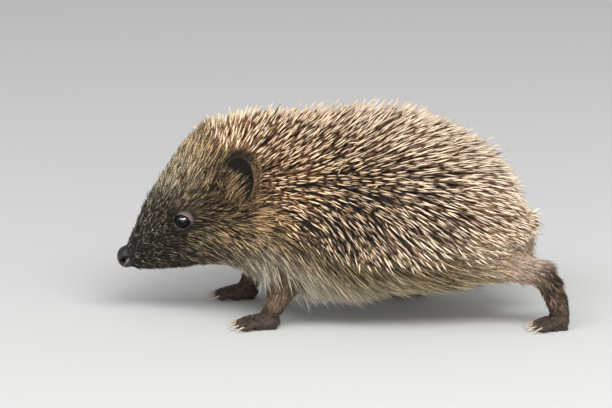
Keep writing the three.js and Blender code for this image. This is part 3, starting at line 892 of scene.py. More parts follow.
def lean(points, normals, table, spread):
    """Directions and lengths of hairs from their place in the table, with a random spread."""
    rows = between(table, mirrored(points))
    angle = np.radians(rows[:, 0])
    wanted = np.stack([np.cos(angle), np.zeros(len(rows)), np.sin(angle)], axis=1)
    rise = (wanted * normals).sum(axis=1)
    flat = unit(wanted - rise[:, None] * normals + 1e-6)
    base = np.radians(rows[:, 1])
    hang = 0.75 * on_chest(mirrored(points)) if table is FUR_LIE else 0
    lift = np.clip(np.arcsin(np.clip(rise, -1, 1)), base - 0.05, base + 0.12 + hang)
    lift = np.clip(lift + rng.normal(0, spread, len(rows)), 0.12, 1.35)
    across = np.cross(normals, flat)
    swing = rng.normal(0, spread, len(rows))[:, None]
    flat = unit(flat + across * swing)
    return flat * np.cos(lift)[:, None] + normals * np.sin(lift)[:, None], rows[:, 2]


def gather(points, directions, lengths, share, size):
    """Bends hairs toward shared tips, so that they stand in locks of about this size."""
    locks = points[spaced(points, size)]
    tree = KDTree(len(locks))
    for i, p in enumerate(locks):
        tree.insert(p, i)
    tree.balance()
    lock = np.array([tree.find(p)[1] for p in points])
    count = np.maximum(np.bincount(lock, minlength=len(locks)), 1)

    def mean(values):
        return np.stack([np.bincount(lock, v, len(locks)) / count for v in values.T], axis=1)[lock]

    tips = points + directions * lengths[:, None]
    shared = mean(tips) + 0.3 * (points - mean(points))
    swung = rng.normal(0, 0.5, (len(locks), 3))[lock]
    tips = tips + share * (shared + swung - tips)
    return unit(tips - points)


def bundles(points, size):
    """Which bundle each hair belongs to: those rooted in one cell of this size."""
    _, bundle = np.unique(np.floor(points / size).astype(int), axis=0, return_inverse=True)
    return bundle.reshape(-1)


def keep_out(points, normals, directions, lengths, proud):
    """Lays down hairs whose tips stand proud of the coat's outline, lifts those that would run into
    the skin and shortens those that would reach the floor."""
    for _ in range(4):
        high = OUTLINE.at(mirrored(points + directions * lengths[:, None])) > proud
        directions[high] = unit(directions[high] - 0.14 * normals[high])
    high = OUTLINE.at(mirrored(points + directions * lengths[:, None])) > proud + 1.5
    lengths = np.where(high, 0.84 * lengths, lengths)
    before = directions.copy()
    for _ in range(2):
        for part in (0.5, 1.0):
            sunk = field(points + directions * (lengths * part)[:, None]) < 0.15
            directions[sunk] = unit(directions[sunk] + 0.35 * normals[sunk])
    turned = (before * directions).sum(axis=1)
    lengths = lengths * (1 - 0.55 * (1 - smooth_step(0.55, 0.95, turned)))
    down = np.maximum(-directions[:, 2], 1e-6)
    room = np.maximum(points[:, 2] - 0.4, 0.3) / down
    return directions, np.minimum(lengths, room)


# ---- hairs and spines as meshes ----
UNWRAP_EDGE = 0.01  # left free all round it
CELL = 0.003  # a patch's side on the unwrap
CELL_SEARCH = 40  # how many cells away a free one may lie
PIECE_LIMIT = 190_000  # triangles in one piece of the coat


def own_cells(places):
    """Moves each place to a free cell of the unwrap near it, so that no two hairs share one."""
    low, high = places.min(axis=0), places.max(axis=0)
    span = 1 - 2 * UNWRAP_EDGE
    places = UNWRAP_EDGE + span * (places - low) / (high - low)
    count = int(span / CELL)
    reach = range(-CELL_SEARCH, CELL_SEARCH + 1)
    ring = sorted(((a, b) for a in reach for b in reach), key=lambda c: c[0] ** 2 + c[1] ** 2)
    taken = np.zeros((count, count), bool)
    cells = np.clip(((places - UNWRAP_EDGE) / CELL).astype(int), 0, count - 1)
    for i, (u, v) in enumerate(cells):
        for a, b in ring:
            if 0 <= u + a < count and 0 <= v + b < count and not taken[u + a, v + b]:
                taken[u + a, v + b] = True
                cells[i] = (u + a, v + b)
                break
    return UNWRAP_EDGE + CELL * cells


def tapered(rings, sides):
    """The faces of a closed, tapered rod whose vertices are ring after ring and then its tip."""
    pairs = [(j, (j + 1) % sides) for j in range(sides)]
    faces = [(k * sides + j, k * sides + n, (k + 1) * sides + n, (k + 1) * sides + j)
             for k in range(rings - 1) for j, n in pairs]
    last = (rings - 1) * sides
    faces += [(last + j, last + n, last + sides) for j, n in pairs]
    faces.append(tuple(range(sides))[::-1])
    return np.array([v for f in faces for v in f]), [len(f) for f in faces]


def strands(name, roots, normals, directions, lengths, thickness, bend, stops, sides, flatness,
            places, colours, material):
    """A joined mesh of closed, tapered strands. stops are (how far along, how thick) pairs."""
    count, rings = len(roots), len(stops)
    across = unit(np.cross(directions, normals) + 1e-6)
    face = np.cross(across, directions)
    along = np.array([s[0] for s in stops] + [1.0])
    width = np.array([s[1] for s in stops])
    middle = (roots[:, None] - 0.35 * normals[:, None]
              + along[None, :, None] * (directions * lengths[:, None])[:, None]
              + (along**2)[None, :, None] * bend[:, None])
    turn = 2 * np.pi * np.arange(sides) / sides
    round_it = (across[:, None] * np.cos(turn)[None, :, None]
                + face[:, None] * np.sin(turn)[None, :, None] * flatness)
    ring = middle[:, :rings, None] + round_it[:, None] * (thickness[:, None] * width)[:, :, None, None]
    vertices = np.concatenate([ring.reshape(count, -1, 3), middle[:, rings:]], axis=1)
    vertices[:, :, 2] = np.maximum(vertices[:, :, 2], FLOOR_GAP)
    each = vertices.shape[1]
    pattern, sizes = tapered(rings, sides)
    loops = (np.arange(count)[:, None] * each + pattern).ravel()

    # Each strand's patch: round it from left to right, along it upward, the root's cap at the foot.
    u, v = [], []
    for k in range(rings - 1):
        for j in range(sides):
            u += [j / sides, (j + 1) / sides, (j + 1) / sides, j / sides]
            v += [along[k], along[k], along[k + 1], along[k + 1]]
    for j in range(sides):
        u += [j / sides, (j + 1) / sides, (j + 0.5) / sides]
        v += [along[rings - 1], along[rings - 1], 1.0]
    u += list(0.5 - 0.5 * np.cos(turn[::-1]))
    v += list(0.04 - 0.04 * np.sin(turn[::-1]))
    cells = own_cells(places)
    patch = np.stack([np.array(u), 0.08 + 0.92 * np.array(v)], axis=1) * CELL * 0.94

    piece = new_mesh(name, vertices.reshape(-1, 3), loops, np.tile(sizes, count), material)
    store_places(piece, cells[:, None] + patch[None])
    store(piece, "along", np.tile(np.concatenate([np.repeat(along[:rings], sides), [1.0]]), count))
    store(piece, "shade", np.repeat(rng.random(count), each))
    for title, colour in zip(("root_colour", "tip_colour"), colours):
        store(piece, title, np.repeat(colour, each, axis=0))
    return piece


def coat_pieces(name, slot, hairs, thickness, bend, stops, sides, flatness, colours, material):
    """The hairs as meshes, each under the limit of triangles and each with hairs from all over."""
    count = len(hairs.roots)
    places = unwrap(hairs.roots, hairs.zone)
    each = 2 * sides * len(stops) - 2  # triangles in a strand
    groups = np.array_split(rng.permutation(count), math.ceil(count * each / PIECE_LIMIT))
    for i, g in enumerate(groups):
        piece = strands(f"{name}_{i + 1}", hairs.roots[g], hairs.normals[g], hairs.directions[g],
                        hairs.lengths[g], thickness[g], bend[g], stops, sides, flatness, places[g],
                        [c[g] for c in colours], material)
        ride(piece, slot)


# ---- materials ----
class Nodes:
    """A material with its shader, and short ways to add nodes."""

    def __init__(self, name, **constants):
        self.material = bpy.data.materials.new(name)
        self.material.use_nodes = True
        self.tree = self.material.node_tree
        self.shader = self.tree.nodes["Principled BSDF"]
        for socket, value in constants.items():
            self.shader.inputs[socket.replace("_", " ")].default_value = value

    def add(self, kind, inputs=(), **settings):
        node = self.tree.nodes.new("ShaderNode" + kind)
        for key, value in settings.items():
            setattr(node, key, value)
        for key, value in dict(inputs).items():
            if isinstance(value, bpy.types.NodeSocket):
                self.tree.links.new(value, node.inputs[key])
            else:
                node.inputs[key].default_value = value
        return node

    def noise(self, scale, detail=3.0):
        place = self.add("TexCoord").outputs["Object"]
        return self.add("TexNoise", {"Vector": place, "Scale": scale, "Detail": detail}).outputs["Fac"]

    def ramp(self, value, stops):
        node = self.add("ValToRGB", {"Fac": value})
        elements = node.color_ramp.elements
        while len(elements) < len(stops):
            elements.new(0.5)
        for element, (place, level) in zip(elements, stops):
            element.position = place
            element.color = (level, level, level, 1)
        return node.outputs["Color"]

    def mix(self, factor, a, b, blend="MIX"):
        return self.add("Mix", {0: factor, 6: a, 7: b}, data_type="RGBA", blend_type=blend).outputs[2]

    def math(self, operation, a, b):
        return self.add("Math", {0: a, 1: b}, operation=operation).outputs[0]

    def attribute(self, name, output):
        return self.add("Attribute", attribute_name=name).outputs[output]

    def to(self, socket, value):
        self.tree.links.new(value, self.shader.inputs[socket])

    def bump(self, height, strength, distance):
        self.to("Normal", self.add("Bump", {"Height": height, "Strength": strength,
                                            "Distance": distance}).outputs["Normal"])


def coat_material(name, stops, roughness, shades, browned=None):
    """Runs from the root's colour to the tip's by the stops, a little different for each strand.
    browned stops say where along it a strand turns brown."""
    m = Nodes(name, Roughness=roughness, Specular_IOR_Level=0.35)
    shade = m.attribute("shade", "Fac")
    shift = m.math("MULTIPLY", m.math("SUBTRACT", shade, 0.5), 0.14)
    along = m.math("ADD", m.attribute("along", "Fac"), shift)
    share = m.ramp(along, stops)
    colour = m.mix(share, m.attribute("root_colour", "Color"), m.attribute("tip_colour", "Color"))
    level = m.ramp(shade, shades)
    streak = m.ramp(m.noise(900.0, 2.0), [(0.3, 0.82), (0.7, 1.0)])
    colour = m.mix(1.0, colour, level, "MULTIPLY")
    if browned:
        colour = m.mix(m.ramp(along, browned), colour, (1.0, 0.85, 0.73, 1), "MULTIPLY")
    m.to("Base Color", m.mix(1.0, colour, streak, "MULTIPLY"))
    m.bump(m.noise(2500.0, 2.0), 0.3, 0.00008)
    return m.material


def skin_material():
    m = Nodes("skin", Specular_IOR_Level=0.4, Subsurface_Weight=0.05,
              Subsurface_Radius=(0.002, 0.0009, 0.0005))
    tone = m.attribute("tone", "Color")
    mottle = m.ramp(m.noise(420.0, 4.0), [(0.32, 0.72), (0.68, 1.12)])
    m.to("Base Color", m.mix(1.0, tone, mottle, "MULTIPLY"))
    place = m.add("TexCoord").outputs["Object"]
    cobble = m.add("TexVoronoi", {"Vector": place, "Scale": 3400.0}, feature="DISTANCE_TO_EDGE")
    cobble = m.ramp(cobble.outputs["Distance"], [(0.0, 0.0), (0.12, 1.0)])
    m.bump(m.math("ADD", cobble, m.noise(900.0, 5.0)), 0.4, 0.00006)
    wet = m.attribute("wet", "Fac")
    m.to("Roughness", m.math("SUBTRACT", m.ramp(m.noise(300.0), [(0.3, 0.6), (0.7, 0.72)]),
                             m.math("MULTIPLY", wet, 0.38)))
    return m.material


def eye_material():
    m = Nodes("eye", Roughness=0.04, IOR=1.7)
    # Painted reflection: the ball's specular level rises from its lower half to its upper half, so it
    # mirrors the lamps above and hardly the floor below.
    up = m.add("SeparateXYZ", {0: m.add("NewGeometry").outputs["Normal"]}).outputs["Z"]
    painted_reflection = m.ramp(m.math("ADD", m.math("MULTIPLY", up, 0.5), 0.5), [(0.60, 0.05), (0.80, 0.95)])
    m.to("Specular IOR Level", painted_reflection)
    brown = m.ramp(m.noise(900.0, 4.0), [(0.35, 0.5), (0.65, 1.4)])
    m.to("Base Color", m.mix(1.0, (0.006, 0.0045, 0.004, 1), brown, "MULTIPLY"))
    return m.material


def claw_material():
    m = Nodes("claw", Roughness=0.35, Specular_IOR_Level=0.5)
    root, tip = (*linear((88, 66, 48)), 1), (*linear((206, 188, 156)), 1)
    grown = m.ramp(m.attribute("along", "Fac"), [(0.05, 0.0), (0.55, 0.7), (0.9, 1.0)])
    streak = m.ramp(m.noise(1400.0, 3.0), [(0.3, 0.78), (0.7, 1.05)])
    m.to("Base Color", m.mix(1.0, m.mix(grown, root, tip), streak, "MULTIPLY"))
    m.bump(m.noise(2600.0, 3.0), 0.35, 0.00006)
    return m.material


def floor_material():
    return Nodes("floor", Roughness=0.9, Base_Color=(0.59, 0.59, 0.575, 1)).material


# ---- skin ----
def off_nose(points):
    """Distance from the middle of the nose, which is a little taller than wide."""
    return np.linalg.norm((points - NOSE) / (1, 1, 1.1), axis=1)


def blend(low, high, share):
    """From the first sRGB colour to the second by each point's share, as linear colours."""
    return linear(low) * (1 - share[:, None]) + linear(high) * share[:, None]


def skin_tones(points):
    """Each point's colour, and how wet it is."""
    halved = mirrored(points)
    zone = zones(points)
    tone = linear(between(FUR_MARKS, halved)[:, :3]) * 1.05

    def paint(share, colour):
        tone[:] += share[:, None] * (colour - tone)

    # Under the spines the skin is dark, and darker still as painted shade in the gaps between them.
    paint(smooth_step(-6, 6, inside_mantle(halved)), linear(SPINE_SKIN_AND_SHADE))
    leg = (zone >= 1) & (zone <= 4)
    tone[leg] = blend(LEG_SKIN, FOOT_SKIN, 1 - smooth_step(6, 15, points[leg][:, 2]))
    local = ear_frame(halved)
    # The ear's bowl and front are dark: darker skin with painted shade in the hollow.
    rim = np.where(zone == EAR_BOWL, smooth_step(0.74, 0.98, ear_reach(local)), 1.0)
    ear = (zone == EAR_BACK) | (zone == EAR_BOWL)
    tone[ear] = blend(BOWL_SKIN_AND_SHADE, EAR_SKIN, rim * (1 - 0.8 * ear_front(local)))[ear]
    tone[zone == TAIL] = linear(LEG_SKIN)
    wet = 1 - smooth_step(4.6, 5.8, off_nose(halved))
    paint(wet, linear(NOSE_SKIN))
    off_eye = np.linalg.norm(halved - EYE, axis=1)
    lid = 1 - smooth_step(4.5, 5.3, np.minimum(off_eye, np.linalg.norm(halved - UPPER_LID, axis=1)))
    above = smooth_step(0.6, 3.2, (halved - EYE) @ (0.42, 0, 0.9))  # above and behind the eye: paler there as painted light on the lid's upward side, darker below as painted shade
    paint(lid, blend(LOWER_LID_SKIN_SHADED, UPPER_LID_SKIN_LIT, above))
    edge = 1 - smooth_step(3.8, 4.2, off_eye)
    paint(edge, linear(LID_EDGE))
    # A thin pale line below the eye: a painted reflection on the lower lid's wet edge.
    below = smooth_step(1.8, 3.0, (EYE - halved) @ (0.5, 0, 0.87))
    paint(np.exp(-((off_eye - 4.1) / 0.22) ** 2) * below, linear(TEAR_GLINT))
    paint(1 - smooth_step(0.2, 0.75, chain(halved, NOSTRIL_RIM, [0.1, 0.2, 0.1])), linear(NOSTRIL_SKIN))
    # The nostril's hollow is painted nearly black: painted shade inside the hole.
    paint(0.9 - 0.9 * smooth_step(0.0, 0.4, chain(halved, NOSTRIL, NOSTRIL_RADII)), 0.0)
    return tone, np.maximum(wet, edge)


SKIN = Skin()
tones, wet = skin_tones(SKIN.vertices)
corners = SKIN.triangles.ravel()
skin = new_mesh("skin", SKIN.vertices, corners, np.full(len(SKIN.triangles), 3), skin_material())
store(skin, "tone", tones)
store(skin, "wet", wet)
store_places(skin, unwrap(SKIN.vertices[corners], np.repeat(SKIN.zones, 3)))
ride(skin, "skin", *FLESH)

# ---- spines ----
SPINE_GAP, SPINE_RADIUS = 1.52, 0.385
SPINE_STOPS = [(0, 0.45), (0.12, 0.9), (0.5, 1.0), (0.8, 0.66)]  # how far along, and how thick
# How far along, and how pale: the root's end, nearly black as painted shade where it sinks into the coat, a
# brown band, a dark band and the cream tip.
SPINE_BANDS = [(0.0, 0.02), (0.24, 0.05), (0.34, 0.34), (0.46, 0.3), (0.54, 0.0), (0.62, 0.04),
               (0.69, 0.75), (0.79, 1.0)]
SPINE_BROWN = [(0.26, 0.0), (0.36, 1.0), (0.56, 1.0), (0.66, 0.0)]


def spine_roots():
    share = (SKIN.zones == BODY) & (SKIN.mantle > -1.5)
    roots, normals, _ = SKIN.scatter(np.where(share, 3.2, 0))
    edge = inside_mantle(mirrored(roots))
    order = rng.permutation(np.flatnonzero(edge + rng.normal(0, 1.5, len(roots)) > 0))
    kept = order[spaced(roots[order], SPINE_GAP)]
    x, z = roots[kept][:, 0], roots[kept][:, 2]
    flank = smooth_step(40, 48, z) * (1 - smooth_step(52, 61, z)) * (1 - smooth_step(54, 66, x))
    kept = kept[rng.random(len(kept)) > 0.3 * flank]  # the lower flank's spines stand further apart
    return roots[kept], normals[kept]


def make_spines():
    roots, normals = spine_roots()
    directions, lengths = lean(roots, normals, SPINE_LIE, 0.11)
    count = len(roots)
    edge = smooth_step(0, 9, inside_mantle(mirrored(roots)))
    lengths = lengths * (0.86 + 0.14 * edge) * rng.uniform(0.86, 1.12, count)
    stray = rng.random(count) < 0.09
    astray = rng.normal(0, 0.28, (stray.sum(), 3))
    directions[stray] = unit(directions[stray] + 0.3 * normals[stray] + astray)
    rump = smooth_step(58, 72, roots[:, 0]) * (1 - smooth_step(54, 68, roots[:, 2]))
    crest = smooth_step(76, 84, roots[:, 2])
    tall = crest * (rng.random(count) < 0.09)  # spines that break the line of the back
    lengths = lengths * (1 + 0.3 * tall)
    proud = rng.normal(0.8 + 0.5 * crest, 1.5 + 1.0 * crest, count) - 5.0 * rump
    proud += 3.0 * np.maximum(stray, tall)
    directions, lengths = keep_out(roots, normals, directions, lengths, proud)
    bend = rng.normal(0, 0.28, (count, 3)) - 0.2 * normals
    marks = between(SPINE_MARKS, mirrored(roots))
    tint = rng.normal(1, 0.14, (count, 1))
    colours = (linear(within_white(marks[:, :3] * tint)),
               linear(within_white(marks[:, 3:] * (0.35 + 0.65 * tint))))
    material = coat_material("spine", SPINE_BANDS, 0.4, [(0.0, 0.7), (0.5, 0.98), (1.0, 1.12)], SPINE_BROWN)
    thickness = SPINE_RADIUS * rng.uniform(0.85, 1.14, count)
    spines = SimpleNamespace(roots=roots, normals=normals, directions=directions, lengths=lengths,
                             zone=np.full(count, BODY))
    coat_pieces("spines", "spines", spines, thickness, bend, SPINE_STOPS, 5, 1.0, colours, material)


# ---- fur ----
GUARD_SHARE = 0.12  # of the hairs are longer-standing, brighter guard hairs
HAIR_STOPS = [(0, 0.8), (0.36, 1.0), (0.76, 0.7)]
SHORT_STOPS = [(0, 0.9), (0.62, 0.85)]


def fur(name, slot, density, locks, spread, thickness, dark, shape=None):
    """Fur over the skin where density is above 0. locks are (share, size), dark is how many of the
    hairs are dark to the tip, and shape(hairs) may change their lie, length and colours."""
    roots, normals, triangle = SKIN.scatter(density)
    directions, lengths = lean(roots, normals, FUR_LIE, spread)
    marks = between(FUR_MARKS, mirrored(roots))
    hairs = SimpleNamespace(roots=roots, normals=normals, zone=SKIN.zones[triangle], directions=directions,
                            lengths=lengths, root_colour=marks[:, :3], tip_colour=marks[:, 3:])
    if shape:
        shape(hairs)
    hairs.lengths = hairs.lengths * rng.uniform(0.72, 1.15, len(roots))
    if locks:
        hairs.directions = gather(roots, hairs.directions, hairs.lengths, *locks)
    guard = (rng.random(len(roots)) < GUARD_SHARE) & (shape is None)
    hairs.directions[guard] = unit(hairs.directions[guard] + 0.12 * normals[guard])
    proud = rng.normal(0.6, 1.0, len(roots)) + 1.0 * (1 - smooth_step(-72, -58, roots[:, 0]))
    proud += 6.0 * on_chest(mirrored(roots))
    proud[(hairs.zone != BODY) | (shape is tuft_shape)] = FAR
    hairs.directions, hairs.lengths = keep_out(roots, normals, hairs.directions, hairs.lengths, proud)
    hairs.guard = guard
    keep = hairs.lengths > 0.5
    hairs = SimpleNamespace(**{key: value[keep] for key, value in vars(hairs).items()})
    count, guard = len(hairs.roots), hairs.guard
    bend = (rng.normal(0, 0.07, (count, 3)) - 0.10 * hairs.normals) * hairs.lengths[:, None]
    long = hairs.lengths.mean() > 6
    halved = mirrored(hairs.roots)
    chest = on_chest(halved)
    bundle = bundles(hairs.roots, 6 * thickness)
    total = bundle.max() + 1
    tint = rng.normal(1, 0.12, (count, 1)) + rng.normal(0, 0.24, (total, 1))[bundle]
    # fur at the spines' lower border is darkened here as painted shadow
    tint += (0.35 if long else 0.1) * guard[:, None] - 0.14 * painted_spine_shadow(halved)[:, None]
    dark = dark * (1 - 0.8 * chest)
    dull = ((rng.random(total)[bundle] < dark) | (rng.random(count) < 0.5 * dark)) & ~guard
    dim = dull[:, None] * rng.uniform(0.7, 1.0, (count, 1))
    tip = within_white(hairs.tip_colour * np.clip(tint, 0.5, 1.6)) * (1 - dim) + hairs.root_colour * dim
    colours = linear(within_white(hairs.root_colour * tint)), linear(tip)
    material = coat_material(name, [(0.08, 0.0), (0.42, 0.75), (0.9, 1.0)], 0.55,
                             [(0.0, 0.62), (0.5, 0.95), (1.0, 1.15)])
    width = thickness * rng.uniform(0.75, 1.25, count) * (1 - 0.3 * chest)
    width *= 1 + (0.4 if long else 0.0) * guard * (1 - chest)
    stops = HAIR_STOPS if long else SHORT_STOPS
    coat_pieces(name, slot, hairs, width, bend, stops, 3, 0.75, colours, material)


HOCK_X = LEG_PATHS["hindfoot_left"][0][3][0]


def leg_shape(hairs):
    """Hair on the legs lies down their length and shortens toward the toes."""
    for i, name in enumerate(PAWS):
        here = hairs.zone == i + 1
        roots, n = hairs.roots[here], hairs.normals[here]
        _, _, down, _ = nearest_on(roots, leg_line(name))
        flat = unit(down - (down * n).sum(axis=1)[:, None] * n + 1e-6)
        lift = np.clip(0.34 + rng.normal(0, 0.1, len(n)), 0.1, 0.8)[:, None]
        hairs.directions[here] = unit(flat * np.cos(lift) + n * np.sin(lift) + rng.normal(0, 0.10, n.shape))
        height = roots[:, 2]
        hairs.lengths[here] = np.interp(height, [0, 5, 10, 20, 34], [1.0, 1.7, 2.8, 4.6, 7.5])
        foot, kind = 1 - smooth_step(6, 16, height), LEG_HAIR["fore"]
        if name == "hindfoot_left":
            foot = smooth_step(HOCK_X - 11, HOCK_X + 5, roots[:, 0]) * (1 - smooth_step(27, 32, height))
            kind = LEG_HAIR["hind"]
        foot = foot[:, None]
        for colour, high, low in zip((hairs.root_colour, hairs.tip_colour), kind, FOOT_HAIR):
            colour[here] = np.array(high) * (1 - foot) + np.array(low) * foot
    here = hairs.zone == TAIL
    hairs.directions[here] = unit(np.array([0.8, 0, -0.5]) + 0.35 * hairs.normals[here])
    hairs.lengths[here] = 3.0


def from_ear_axes(directions, roots):
    """Directions in the ear's own axes, as the frame's, on the side of each root."""
    return directions @ EAR_AXES * np.where(roots[:, 1:2] > 0, 1, (1, -1, 1))


def ear_shape(hairs):
    """Short fuzz on the ears, longer at the rim and darker inside and in front: the ear's darker skin and
    hair, with painted shade in its hollow.
    """
    local, normals = ear_frame(mirrored(hairs.roots)), hairs.normals
    bowl = hairs.zone == EAR_BOWL
    rim = smooth_step(0.78, 0.98, ear_reach(local))
    outward = local * (1, 0, 1) / (EAR_SHELL[0], 1, EAR_SHELL[2])
    way = np.array([0.35, 0.1, 0.5]) + (0.2 + 0.9 * rim[:, None]) * outward
    way = from_ear_axes(way + rng.normal(0, 0.15, way.shape), hairs.roots)
    flat = unit(way - (way * normals).sum(axis=1)[:, None] * normals)
    lift = np.where(bowl, 0.5, 0.4)[:, None]
    hairs.directions = unit(flat * np.cos(lift) + normals * np.sin(lift))
    hairs.lengths = np.where(bowl, 1.4, 2.4) + 1.4 * rim
    hairs.root_colour, tip_colour = (np.where(bowl[:, None], inside, outside).astype(float)
                                     for inside, outside in zip(EAR_INSIDE_AND_SHADE, EAR_HAIR))
    tip_colour += (rim**2)[:, None] * (np.array(EAR_HAIR[1]) - tip_colour)
    shaded = (ear_front(local) * smooth_step(-7, -1, local[:, 2]))[:, None]
    tip_colour += 0.75 * shaded * (np.array(EAR_INSIDE_AND_SHADE[1]) - tip_colour)
    hairs.tip_colour = tip_colour


def tuft_shape(hairs):
    """Tufts from the ear's front edge, back and up across the lower front of its opening."""
    count, local = len(hairs.roots), ear_frame(mirrored(hairs.roots))
    turned = unit(np.array([0.48, 0.34, 0.80]) + rng.normal(0, 0.11, (count, 3)))
    hairs.directions = from_ear_axes(turned, hairs.roots)
    reach = 13.0 - 7.5 * smooth_step(-8, 0, local[:, 2]) - 4.5 * smooth_step(-4, 1, local[:, 0])
    hairs.lengths = reach * rng.uniform(0.55, 1.4, count)
    hairs.root_colour, hairs.tip_colour = (np.tile(np.array(c, float), (count, 1)) for c in EAR_TUFT)


CHEST, CHEST_HALF = (-25, 22), (26, 14)  # in x and z


def on_chest(points):
    """1 on the pale ruff of the chest, falling to 0 about it."""
    x, z = ((points[:, [0, 2]] - CHEST) / CHEST_HALF).T
    return 1 - smooth_step(0.7, 1.3, np.hypot(x, z))


def painted_spine_shadow(points):
    """Painted shadow cast by the spines: 1 on the flank's fur at the spines' lower border, falling to 0
    below it.
    """
    edge, x, z = inside_mantle(points), points[:, 0], points[:, 2]
    return smooth_step(-10, -4, edge) * smooth_step(-24, -10, x) * (1 - smooth_step(50, 60, z))


def densities():
    """How many hairs of each kind stand on a square millimetre of each of the skin's triangles."""
    middle, zone = SKIN.middles, SKIN.zones
    halved = mirrored(middle)
    off_eye = np.min([np.linalg.norm(halved - p, axis=1) for p in (EYE, EYE - (1, 0, 0), UPPER_LID)], axis=0)
    bare = (off_nose(halved) < 5.1) | (off_eye < 4.4) | (middle[:, 2] < 1.0)
    body = (zone == BODY) & ~bare
    uncovered = 1 - smooth_step(-2.0, 2.0, SKIN.mantle)
    face = body & (middle[:, 0] < -46)
    legs = (zone >= 1) & (zone <= 4)
    local = ear_frame(halved)
    slant = local[:, 2] + 0.9 * local[:, 0]  # falls across the opening from its back edge to its front
    out = ear_reach(local)
    fringe = (slant < -7.6) & (out > 0.88) & (out < 1.35) & (local[:, 1] > -5) & (local[:, 1] < 6)
    grown = between(FUR_LIE, halved)[:, 2]
    return {
        "face_short": np.where(face & (grown < 5.2), 6.2, 0) * uncovered,
        "face_long": np.where(face & (grown >= 5.2), 4.3, 0) * uncovered,
        "body": np.where(body & ~face, (2.15 + 0.9 * on_chest(halved)) * uncovered + 0.03, 0),
        "legs": np.where((legs | (zone == TAIL)) & ~bare, 4.0, 0),
        "ears": np.where((zone == EAR_BACK) | (zone == EAR_BOWL), 6.5, 0),
        "tufts": np.where(fringe, 4.4, 0),
    }


# ---- whiskers ----
def make_whiskers():
    roots, ahead = [], []
    for side in (-1, 1):
        for row in range(4):
            for column in range(5):
                x = NOSE[0] + 6.5 + 2.3 * column + rng.normal(0, 0.3)
                z = NOSE[2] - 0.6 + 1.9 * row + 0.25 * column + rng.normal(0, 0.3)
                roots.append((x, side * 9.0, z))
                ahead.append((0.55 + 0.12 * column + rng.normal(0, 0.12), side * 0.8, 0.14 * row - 0.2))
        for spot in ((-2, 5.8), (0.5, 6.4)):
            roots.append(EYE * (1, side, 1) + (spot[0], side * 3, spot[1]))
            ahead.append((0.7, side * 0.6, 0.7))
    roots = settle(np.array(roots), 14)
    normals = unit(gradient(roots))
    directions = unit(np.array(ahead) + 0.2 * normals)
    count = len(roots)
    lengths = rng.uniform(8, 15, count)
    bend = np.array([(0.12, 0, -0.12)]) * lengths[:, None] + rng.normal(0, 0.5, (count, 3))
    material = coat_material("whisker", [(0.0, 0.0), (1.0, 1.0)], 0.4, [(0.0, 0.8), (1.0, 1.0)])
    colours = [np.tile(linear(c), (count, 1)) for c in ((24, 20, 16), (60, 52, 42))]
    stops = [(0, 1.0), (0.12, 0.92), (0.25, 0.82), (0.4, 0.7), (0.55, 0.56), (0.7, 0.42), (0.85, 0.26)]
    places = unwrap(roots, np.full(count, BODY))
    piece = strands("whiskers", roots, normals, directions, lengths, np.full(count, 0.09), bend, stops,
                    4, 1.0, places, colours, material)
    ride(piece, "face")


# ---- eyes and claws ----
EYE_ROWS, EYE_AROUND = 40, 56
CORNEA_RISE, CORNEA_WIDTH = 0.38, 0.62  # in mm, and in radians from the way the eye looks


def make_eyes():
    """A glossy ball with a slightly raised cornea, its mesh denser toward the front."""
    material = eye_material()
    rows, around = EYE_ROWS, EYE_AROUND
    for name, side in SIDES.items():
        centre, look = EYE * (1, side, 1), LOOK * (1, side, 1)
        right = unit(np.cross(look, (0, 0, 1)))
        up = np.cross(right, look)
        angle = np.pi * (np.arange(1, rows) / rows) ** 1.25
        turn = 2 * np.pi * np.arange(around) / around
        radius = EYE_RADIUS + CORNEA_RISE * np.exp(-(angle / CORNEA_WIDTH) ** 2)
        circle = np.cos(turn)[:, None] * right + np.sin(turn)[:, None] * up
        ring = np.cos(angle)[:, None, None] * look + np.sin(angle)[:, None, None] * circle
        points = (centre + ring * radius[:, None, None]).reshape(-1, 3)
        poles = [centre + look * (EYE_RADIUS + CORNEA_RISE), centre - look * EYE_RADIUS]
        points = np.concatenate([points, poles])
        loops, sizes = [], []
        for j in range(around):
            k = (j + 1) % around
            for i in range(rows - 2):
                loops += [i * around + j, (i + 1) * around + j, (i + 1) * around + k, i * around + k]
                sizes.append(4)
            last = (rows - 2) * around
            loops += [len(points) - 2, j, k, last + k, last + j, len(points) - 1]
            sizes += [3, 3]
        piece = new_mesh(f"eyeball_{name}", points, np.array(loops)[::-1], sizes[::-1], material)
        ride(piece, "eye", f"eye_{name}")


CLAW_RINGS, CLAW_AROUND = 12, 12


def make_claws():
    material = claw_material()
    pattern, sizes = tapered(CLAW_RINGS, CLAW_AROUND)
    for paw in PAWS:
        vertices, grown = [], []
        for i in TOES:
            base, tip = claw_line(f"claw_{paw}_{i}")
            run = tip - base
            ahead = unit(run * (1, 1, 0))
            across = np.cross(ahead, (0, 0, 1))
            base = base - ahead * 1.1 + (0, 0, 0.15)
            reach = np.linalg.norm((tip - base)[:2])
            for k in range(CLAW_RINGS):
                t = k / CLAW_RINGS
                middle = base + ahead * reach * t + (0, 0, (tip[2] - base[2]) * t + 1.5 * t * (1 - t))
                wide, tall = 0.62 * (1 - t) ** 0.55 + 0.05, 0.78 * (1 - t) ** 0.7 + 0.06
                for j in range(CLAW_AROUND):
                    a = 2 * math.pi * j / CLAW_AROUND
                    z = math.sin(a) * (tall if math.sin(a) > 0 else 0.6 * tall)
                    vertices.append(middle + across * math.cos(a) * wide + (0, 0, z))
                    grown.append(t)
            vertices.append(tip)
            grown.append(1.0)
        points = np.array(vertices)
        points[:, 2] = np.maximum(points[:, 2], FLOOR_GAP)
        firsts = np.arange(len(TOES)) * (CLAW_RINGS * CLAW_AROUND + 1)
        loops = (firsts[:, None] + pattern).ravel()
        piece = new_mesh(f"claws_{paw}", points, loops, sizes * len(TOES), material)
        store(piece, "along", grown)
        ride(piece, "claw", *(f"claw_{paw}_{i}" for i in TOES))


